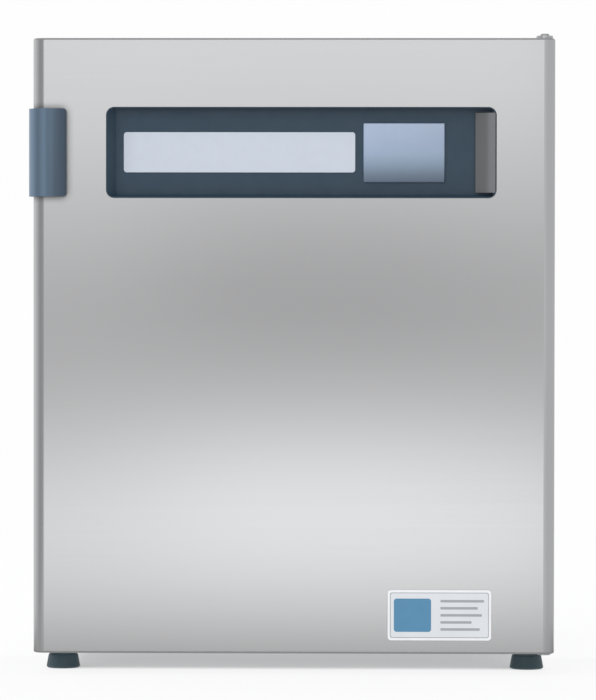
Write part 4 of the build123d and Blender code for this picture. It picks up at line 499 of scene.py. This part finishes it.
# across the seal and out of the door: a foot, a waist and a hollow-looking crown
SEAL_PROFILE = [
    (-1.0, 0.0), (-0.97, 0.22), (-0.60, 0.30), (-0.52, 0.42), (-0.78, 0.56), (-0.86, 0.76), (-0.66, 0.93),
    (-0.34, 0.99), (-0.12, 0.93), (0.12, 0.93), (0.34, 0.99), (0.66, 0.93), (0.86, 0.76), (0.78, 0.56),
    (0.52, 0.42), (0.60, 0.30), (0.97, 0.22), (1.0, 0.0),
]
bm = bmesh.new()
middle = Vector(((low.x + high.x) / 2, low.y, (low.z + high.z) / 2))
rings = []
for point, normal in rounded_outline(seal_width, seal_height, SEAL_CORNER, 8):
    ring = []
    for across, out in SEAL_PROFILE:
        at = point + normal * across * SEAL_HALF
        ring.append(middle + Vector((at.x, out * seal_depth, at.y)))
    rings.append(ring)
rings.append(rings[0])
loft(bm, rings)
door_seal = piece("door_seal", bm, "outer_door", "gasket_rubber", angle=60)
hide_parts("door_gasket")

# ---------------------------------------------------------------- label print on the door
low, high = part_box("spec_label")
label_width, label_height = high.x - low.x, high.z - low.z
label_centre = Vector(((low.x + high.x) / 2, low.y, (low.z + high.z) / 2))
INK = 0.06 * MM


def on_label(x, z, rise=0.0):
    """Place on the label: x and z run from -1 to 1 across it."""
    spot = label_centre + Vector((x * label_width / 2, -rise, z * label_height / 2))
    return facing(spot, (0, -1, 0))


bm = bmesh.new()
tablet(bm, on_label(0.0, 0.0), label_width * 0.955, label_height * 0.90, 3 * MM, INK)
piece("label_line", bm, "outer_door", "label_film", "print_grey")
bm = bmesh.new()
tablet(bm, on_label(0.0, 0.0, INK), label_width * 0.94, label_height * 0.87, 2.6 * MM, INK)
piece("label_field", bm, "outer_door", "label_film", "print_field")
bm = bmesh.new()
tablet(bm, on_label(-0.52, 0.0, 2 * INK), label_width * 0.36, label_height * 0.66, 4 * MM, INK)
piece("label_patch", bm, "outer_door", "label_film", "print_blue")
bm = bmesh.new()
BAR_LENGTHS = (0.42, 0.36, 0.40, 0.30, 0.38)
for i, length in enumerate(BAR_LENGTHS):
    x = 0.02 + length
    z = 0.56 - 0.28 * i
    tablet(bm, on_label(x, z, 2 * INK), label_width * length, label_height * 0.05, 0.8 * MM, INK)
piece("label_bars", bm, "outer_door", "label_film", "print_grey")

# ---------------------------------------------------------------- plate and marks at the back
low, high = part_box("rear_panel")
PLATE_WIDTH, PLATE_HEIGHT, PLATE_THICKNESS = 96 * MM, 54 * MM, 0.5 * MM
PLATE_SPOT = (250 * MM, 210 * MM)  # its middle from the rear panel's low corner
plate_spot = Vector((low.x + PLATE_SPOT[0], high.y, low.z + PLATE_SPOT[1]))
plate_place = facing(plate_spot, (0, 1, 0))
bm = bmesh.new()
tablet(bm, plate_place, PLATE_WIDTH, PLATE_HEIGHT, 3 * MM, PLATE_THICKNESS, 0.15 * MM)
piece("rating_plate", bm, "cabinet", "label_film")
RATING_BARS = (0.62, 0.50, 0.58, 0.40, 0.54)  # shares of the plate's width
BARS_TOP, BAR_PITCH, BAR_HEIGHT = 17.0, 8.5, 2.4  # millimetres, up from the plate's middle
BAR_MARGIN = 0.78  # the bars start at this share of the width, centred on the plate
bm = bmesh.new()
for i, length in enumerate(RATING_BARS):
    bar_x = -(BAR_MARGIN - length) * PLATE_WIDTH / 2
    row = plate_place @ Matrix.Translation((bar_x, (BARS_TOP - BAR_PITCH * i) * MM, PLATE_THICKNESS))
    tablet(bm, row, length * PLATE_WIDTH, BAR_HEIGHT * MM, 0.6 * MM, INK)
piece("rating_bars", bm, "cabinet", "label_film", "print_grey")

# ---------------------------------------------------------------- metal sleeves on the mains pins
low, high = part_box("power_inlet")
PIN_SLEEVE = (2.3 * MM, 5.3 * MM)
SLEEVE_LENGTH, SLEEVE_DEPTH = 14.1 * MM, 18.8 * MM  # its foot's depth below the inlet's face
PIN_SPOTS = ((-7.0, -22.0), (0.0, -17.0), (7.0, -22.0))  # left or right of and above the inlet's middle
inlet_middle = (low + high) / 2
bm = bmesh.new()
for x, z in PIN_SPOTS:
    pin_foot = Vector((inlet_middle.x + x * MM, high.y - SLEEVE_DEPTH, inlet_middle.z + z * MM))
    tablet(bm, facing(pin_foot, (0, 1, 0)), *PIN_SLEEVE, 0.5 * MM, SLEEVE_LENGTH, 0.4 * MM)
piece("mains_pin_sleeves", bm, "cabinet", "nickel_brass")

# ---------------------------------------------------------------- screws
low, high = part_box("hinge_bracket_top")
middle_x = (low.x + high.x) / 2
spots = [(middle_x, high.y - back * MM, high.z) for back in (13, 41)]
screws("top_hinge_screws", spots, (0, 0, 1), (0, 1, 0), "cabinet", 4.6 * MM, 2.0 * MM)

low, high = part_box("air_duct")
spots = [(x, low.y, z) for x in (low.x + 14 * MM, high.x - 14 * MM)
         for z in (low.z + 14 * MM, (low.z + high.z) / 2, high.z - 14 * MM)]
screws("duct_screws", spots, (0, -1, 0), (0, 0, 1), "cabinet")

low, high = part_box("fan_shroud")
spots = [(x, y, low.z) for x in (low.x + 18 * MM, high.x - 18 * MM)
         for y in (low.y + 18 * MM, high.y - 18 * MM)]
screws("shroud_screws", spots, (0, 0, -1), (0, 1, 0), "cabinet")

for name, out in (("left", 1), ("right", -1)):
    low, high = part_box(f"shelf_uprights_{name}")
    web_x = high.x if out > 0 else low.x
    spots = [(web_x, y, z) for y in (low.y + 12 * MM, high.y - 12 * MM)
             for z in (low.z + 15 * MM, high.z - 15 * MM)]
    screws(f"upright_screws_{name}", spots, (out, 0, 0), (0, 0, 1), "cabinet", 3.4 * MM, 1.4 * MM)

low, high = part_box("glass_hinge_clamps")
spots = [(low.x + 10 * MM, low.y, z) for end, way in ((low.z, 1), (high.z, -1))
         for z in (end + way * 9 * MM, end + way * 31 * MM)]
screws("clamp_screws", spots, (0, -1, 0), (0, 0, 1), "glass_door", 3.2 * MM, 1.5 * MM)

# ---------------------------------------------------------------- studio
LENS = 206.87
CAMERA_SPOT = (0.12, -6.401, 0.6)
camera_data = bpy.data.cameras.new("camera")
camera = bpy.data.objects.new("camera", camera_data)
bpy.context.scene.collection.objects.link(camera)
bpy.context.scene.camera = camera
camera_data.sensor_fit = "AUTO"
camera_data.sensor_width = 36.0
camera_data.lens = LENS
camera_data.clip_start = 0.1
camera_data.clip_end = 60.0
YAW, PITCH, ROLL = math.radians(-1.054), math.radians(-1.09), math.radians(0.067)
camera.location = CAMERA_SPOT
forward = Vector((math.sin(YAW) * math.cos(PITCH), math.cos(YAW) * math.cos(PITCH), math.sin(PITCH)))
camera.rotation_mode = "QUATERNION"
look_at = forward.to_track_quat("-Z", "Y")
camera.rotation_quaternion = look_at @ Matrix.Rotation(ROLL, 3, "Z").to_quaternion()

scene = bpy.context.scene
scene.view_settings.view_transform = "Standard"
scene.view_settings.look = "None"
WHITE = 0.99
# how much of the floor's white is its own, under the cabinet (lower there: a painted shadow) and round it,
# and how wide the change is
GLOW_IN_PAINTED_SHADOW, GLOW_OPEN = 0.33, 0.93
GLOW_EDGE = 0.06
FLOOR_GLOSS = 0.05
FADE_START, FADE_END = 1.2, 3.0  # from the origin, where the lit floor gives way to plain backdrop white
FRONT_LEFT = (-0.57, -0.82, 0)


def world_light():
    """White to the camera; to the object a soft room, dim at the front left and brighter overhead."""
    world = bpy.data.worlds.new("studio")
    scene.world = world
    world.use_nodes = True
    tree = world.node_tree
    tree.nodes.clear()
    new = tree.nodes.new
    link = tree.links.new
    coordinates = new("ShaderNodeTexCoord")

    def facing_value(direction, low, high, start, end):
        """start to end as the view of the room turns from low to high along a direction."""
        dot = new("ShaderNodeVectorMath")
        dot.operation = "DOT_PRODUCT"
        dot.inputs[1].default_value = Vector(direction).normalized()
        link(coordinates.outputs["Generated"], dot.inputs[0])
        node = new("ShaderNodeMapRange")
        node.interpolation_type = "SMOOTHSTEP"
        node.inputs["From Min"].default_value = low
        node.inputs["From Max"].default_value = high
        node.inputs["To Min"].default_value = start
        node.inputs["To Max"].default_value = end
        link(dot.outputs["Value"], node.inputs["Value"])
        return node.outputs["Result"]

    def product(first, second):
        node = new("ShaderNodeMath")
        node.operation = "MULTIPLY"
        link(first, node.inputs[0])
        link(second, node.inputs[1])
        return node.outputs["Value"]

    def room(strength):
        node = new("ShaderNodeBackground")
        node.inputs["Color"].default_value = (0.985, 0.99, 1.0, 1.0)
        link(strength, node.inputs["Strength"])
        return node.outputs["Background"]

    # what the steel mirrors, then what lights the matt surfaces
    front_left = product(
        facing_value(FRONT_LEFT, 0.2, 1.0, 0.88, 0.56),
        facing_value(FRONT_LEFT, 0.82, 1.0, 1.0, 0.74),
    )
    right = facing_value((1, 0, 0), 0.0, 0.7, 1.0, 0.78)
    above = facing_value((0, 0, 1), 0.25, 0.6, 1.0, 0.60)
    mirrored = room(product(product(front_left, right), above))
    overhead = facing_value((0, 0, 1), 0.1, 0.9, 0.66, 1.70)
    soft = room(product(overhead, facing_value((1, -0.4, 0), 0.0, 1.0, 1.0, 0.70)))
    backdrop = new("ShaderNodeBackground")
    backdrop.inputs["Color"].default_value = (1, 1, 1, 1)
    backdrop.inputs["Strength"].default_value = WHITE
    path = new("ShaderNodeLightPath")
    lit = new("ShaderNodeMixShader")
    link(path.outputs["Is Glossy Ray"], lit.inputs["Fac"])
    link(soft, lit.inputs[1])
    link(mirrored, lit.inputs[2])
    mix = new("ShaderNodeMixShader")
    link(path.outputs["Is Camera Ray"], mix.inputs["Fac"])
    link(lit.outputs["Shader"], mix.inputs[1])
    link(backdrop.outputs["Background"], mix.inputs[2])
    output = new("ShaderNodeOutputWorld")
    link(mix.outputs["Shader"], output.inputs["Surface"])


world_light()


def sheet(name, corners, material):
    """A flat stage piece between four corners."""
    mesh = bpy.data.meshes.new(name)
    mesh.from_pydata(corners, [], [tuple(range(len(corners)))])
    mesh.materials.append(material)
    obj = bpy.data.objects.new(name, mesh)
    scene.collection.objects.link(obj)
    return obj


def footprint_painted_shadow(look):
    """A painted shadow: the low under-cabinet glow below the cabinet, rising to GLOW_OPEN over the last
    GLOW_EDGE inside its footprint.
    """
    low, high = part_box("base_pan")
    centre, half = (low + high) / 2, (high - low) / 2
    shifted = look.place((1, 1, 0), (-centre.x, -centre.y, 0))
    size = look.nodes.new("ShaderNodeVectorMath")
    size.operation = "ABSOLUTE"
    look.link(shifted, size.inputs[0])
    past = look.nodes.new("ShaderNodeVectorMath")
    past.operation = "SUBTRACT"
    past.inputs[1].default_value = (half.x, half.y, 0)
    look.link(size.outputs["Vector"], past.inputs[0])
    split = look.nodes.new("ShaderNodeSeparateXYZ")
    look.link(past.outputs["Vector"], split.inputs["Vector"])
    outside = look.nodes.new("ShaderNodeMath")
    outside.operation = "MAXIMUM"
    look.link(split.outputs["X"], outside.inputs[0])
    look.link(split.outputs["Y"], outside.inputs[1])
    glow = look.nodes.new("ShaderNodeMapRange")
    glow.interpolation_type = "SMOOTHSTEP"
    glow.inputs["From Min"].default_value = -GLOW_EDGE
    glow.inputs["From Max"].default_value = 0.0
    glow.inputs["To Min"].default_value = GLOW_IN_PAINTED_SHADOW
    glow.inputs["To Max"].default_value = GLOW_OPEN
    look.link(outside.outputs["Value"], glow.inputs["Value"])
    return glow.outputs["Result"]


def floor_material():
    """Matt white lit partly from within, with a painted shadow under the cabinet and a trace of gloss,
    running out to backdrop white.
    """
    look = Look("floor_white", (0.9, 0.9, 0.9), 0.9)
    nodes, links = look.nodes, look.links
    nodes.remove(look.shader)
    matt = nodes.new("ShaderNodeBsdfDiffuse")
    matt.inputs["Color"].default_value = (0.95, 0.95, 0.955, 1.0)
    lit = nodes.new("ShaderNodeEmission")
    lit.inputs["Strength"].default_value = WHITE
    base = nodes.new("ShaderNodeMixShader")
    # less of the floor's own glow under the cabinet: a painted shadow
    links.new(footprint_painted_shadow(look), base.inputs["Fac"])
    links.new(matt.outputs["BSDF"], base.inputs[1])
    links.new(lit.outputs["Emission"], base.inputs[2])
    gloss = nodes.new("ShaderNodeBsdfGlossy")
    gloss.inputs["Roughness"].default_value = 0.12
    ground = nodes.new("ShaderNodeMixShader")
    ground.inputs["Fac"].default_value = FLOOR_GLOSS
    links.new(base.outputs["Shader"], ground.inputs[1])
    links.new(gloss.outputs["BSDF"], ground.inputs[2])
    away = nodes.new("ShaderNodeEmission")
    away.inputs["Strength"].default_value = WHITE
    distance = nodes.new("ShaderNodeVectorMath")
    distance.operation = "LENGTH"
    links.new(look.coordinates.outputs["Object"], distance.inputs[0])
    fade = nodes.new("ShaderNodeMapRange")
    fade.interpolation_type = "SMOOTHSTEP"
    fade.inputs["From Min"].default_value = FADE_START
    fade.inputs["From Max"].default_value = FADE_END
    links.new(distance.outputs["Value"], fade.inputs["Value"])
    mix = nodes.new("ShaderNodeMixShader")
    links.new(fade.outputs["Result"], mix.inputs["Fac"])
    links.new(ground.outputs["Shader"], mix.inputs[1])
    links.new(away.outputs["Emission"], mix.inputs[2])
    links.new(mix.outputs["Shader"], nodes["Material Output"].inputs["Surface"])
    return look.material


FLOOR = 14.0
floor_corners = [(-FLOOR, -FLOOR, 0), (FLOOR, -FLOOR, 0), (FLOOR, FLOOR, 0), (-FLOOR, FLOOR, 0)]
floor = sheet("floor", floor_corners, floor_material())
floor.visible_glossy = False


def glow_material(name, axis, low, high, stops, side_stops=None):
    """Emission whose strength follows stops, each (place along the axis, strength).

    With side_stops it turns to those towards the sides, and to an even strength at the margins.
    """
    look = Look(name, (0, 0, 0), 1.0)
    place = look.span(axis, low, high)

    def strengths(pairs):
        return look.ramp(place, [((at - low) / (high - low), value / 2) for at, value in pairs])

    grey = strengths(stops)
    if side_stops:
        across = look.span("X", -CARD_HALF, CARD_HALF)
        grey = look.mix(look.ramp(across, SIDE_SHARE, smooth=True), grey, strengths(side_stops))
        margins = look.ramp(across, [(0.48, MARGIN_LEFT / 2), (0.52, MARGIN_RIGHT / 2)])
        grey = look.mix(look.ramp(across, MARGIN_SHARE, smooth=True), grey, margins)
    glow = look.nodes.new("ShaderNodeEmission")
    glow.inputs["Strength"].default_value = 2.0
    look.link(grey, glow.inputs["Color"])
    look.link(glow.outputs["Emission"], look.nodes["Material Output"].inputs["Surface"])
    look.nodes.remove(look.shader)
    return look.material


def reflector(name, corners, material):
    """A card that lights and is mirrored, but isn't seen and casts no shadow."""
    card = sheet(name, corners, material)
    card.visible_camera = False
    card.visible_shadow = False
    return card


# the tall card in front gives the steel its pale and dark bands
CARD_Y, CARD_HALF, CARD_TOP = -1.65, 1.0, 1.35
SIDE_SHARE = [(0.0, 1.0), (0.25, 1.0), (0.48, 0.0), (0.56, 0.0), (0.72, 0.42), (1.0, 0.7)]
MARGIN_SHARE = [(0.0, 1.0), (0.10, 1.0), (0.24, 0.0), (0.71, 0.0), (0.80, 1.0), (1.0, 1.0)]
MARGIN_LEFT, MARGIN_RIGHT = 0.43, 0.75
card_stops = [(0.0, 1.03), (0.063, 1.40), (0.141, 1.62), (0.238, 1.46), (0.334, 0.88), (0.419, 0.61),
              (0.552, 0.43), (0.660, 0.63), (0.793, 0.93), (0.962, 1.20), (1.35, 1.15)]
side_stops = [(0.0, 1.02), (0.063, 1.30), (0.141, 1.38), (0.238, 1.14), (0.334, 0.80), (0.419, 0.64),
              (0.552, 0.62), (0.660, 0.82), (0.793, 1.00), (0.962, 1.20), (1.35, 1.15)]
CARD_FOOT = 1 * MM
front_corners = [
    (-CARD_HALF, CARD_Y, CARD_FOOT),
    (CARD_HALF, CARD_Y, CARD_FOOT),
    (CARD_HALF, CARD_Y, CARD_TOP),
    (-CARD_HALF, CARD_Y, CARD_TOP),
]
reflector(
    "front_card",
    front_corners,
    glow_material("front_glow", "Z", 0.0, CARD_TOP, card_stops, side_stops),
)
# the low card stands in for the floor, whose own white would mirror too bright
FLOOR_CARD_BACK, FLOOR_CARD_RISE = -0.1, 2 * MM
floor_stops = [(-1.65, 0.95), (-1.42, 0.84), (-1.13, 0.70), (-0.77, 0.52), (-0.42, 0.42), (-0.1, 0.2)]
floor_card_corners = [
    (-CARD_HALF, CARD_Y, FLOOR_CARD_RISE),
    (CARD_HALF, CARD_Y, FLOOR_CARD_RISE),
    (CARD_HALF, FLOOR_CARD_BACK, FLOOR_CARD_RISE),
    (-CARD_HALF, FLOOR_CARD_BACK, FLOOR_CARD_RISE),
]
floor_card = reflector(
    "floor_card",
    floor_card_corners,
    glow_material("floor_glow", "Y", CARD_Y, FLOOR_CARD_BACK, floor_stops),
)
floor_card.visible_diffuse = False


def area_light(name, location, target, size, power):
    """A square soft box that shines on target and isn't seen."""
    data = bpy.data.lights.new(name, "AREA")
    data.energy = power
    data.shape = "SQUARE"
    data.size = size
    light = bpy.data.objects.new(name, data)
    scene.collection.objects.link(light)
    light.location = location
    light.rotation_mode = "QUATERNION"
    light.rotation_quaternion = (Vector(target) - Vector(location)).to_track_quat("-Z", "Y")
    light.visible_camera = False
    return light


key = area_light("key", (-2.4, -2.3, 2.0), (0, -0.2, 0.5), 1.4, 38.0)
key.visible_glossy = False
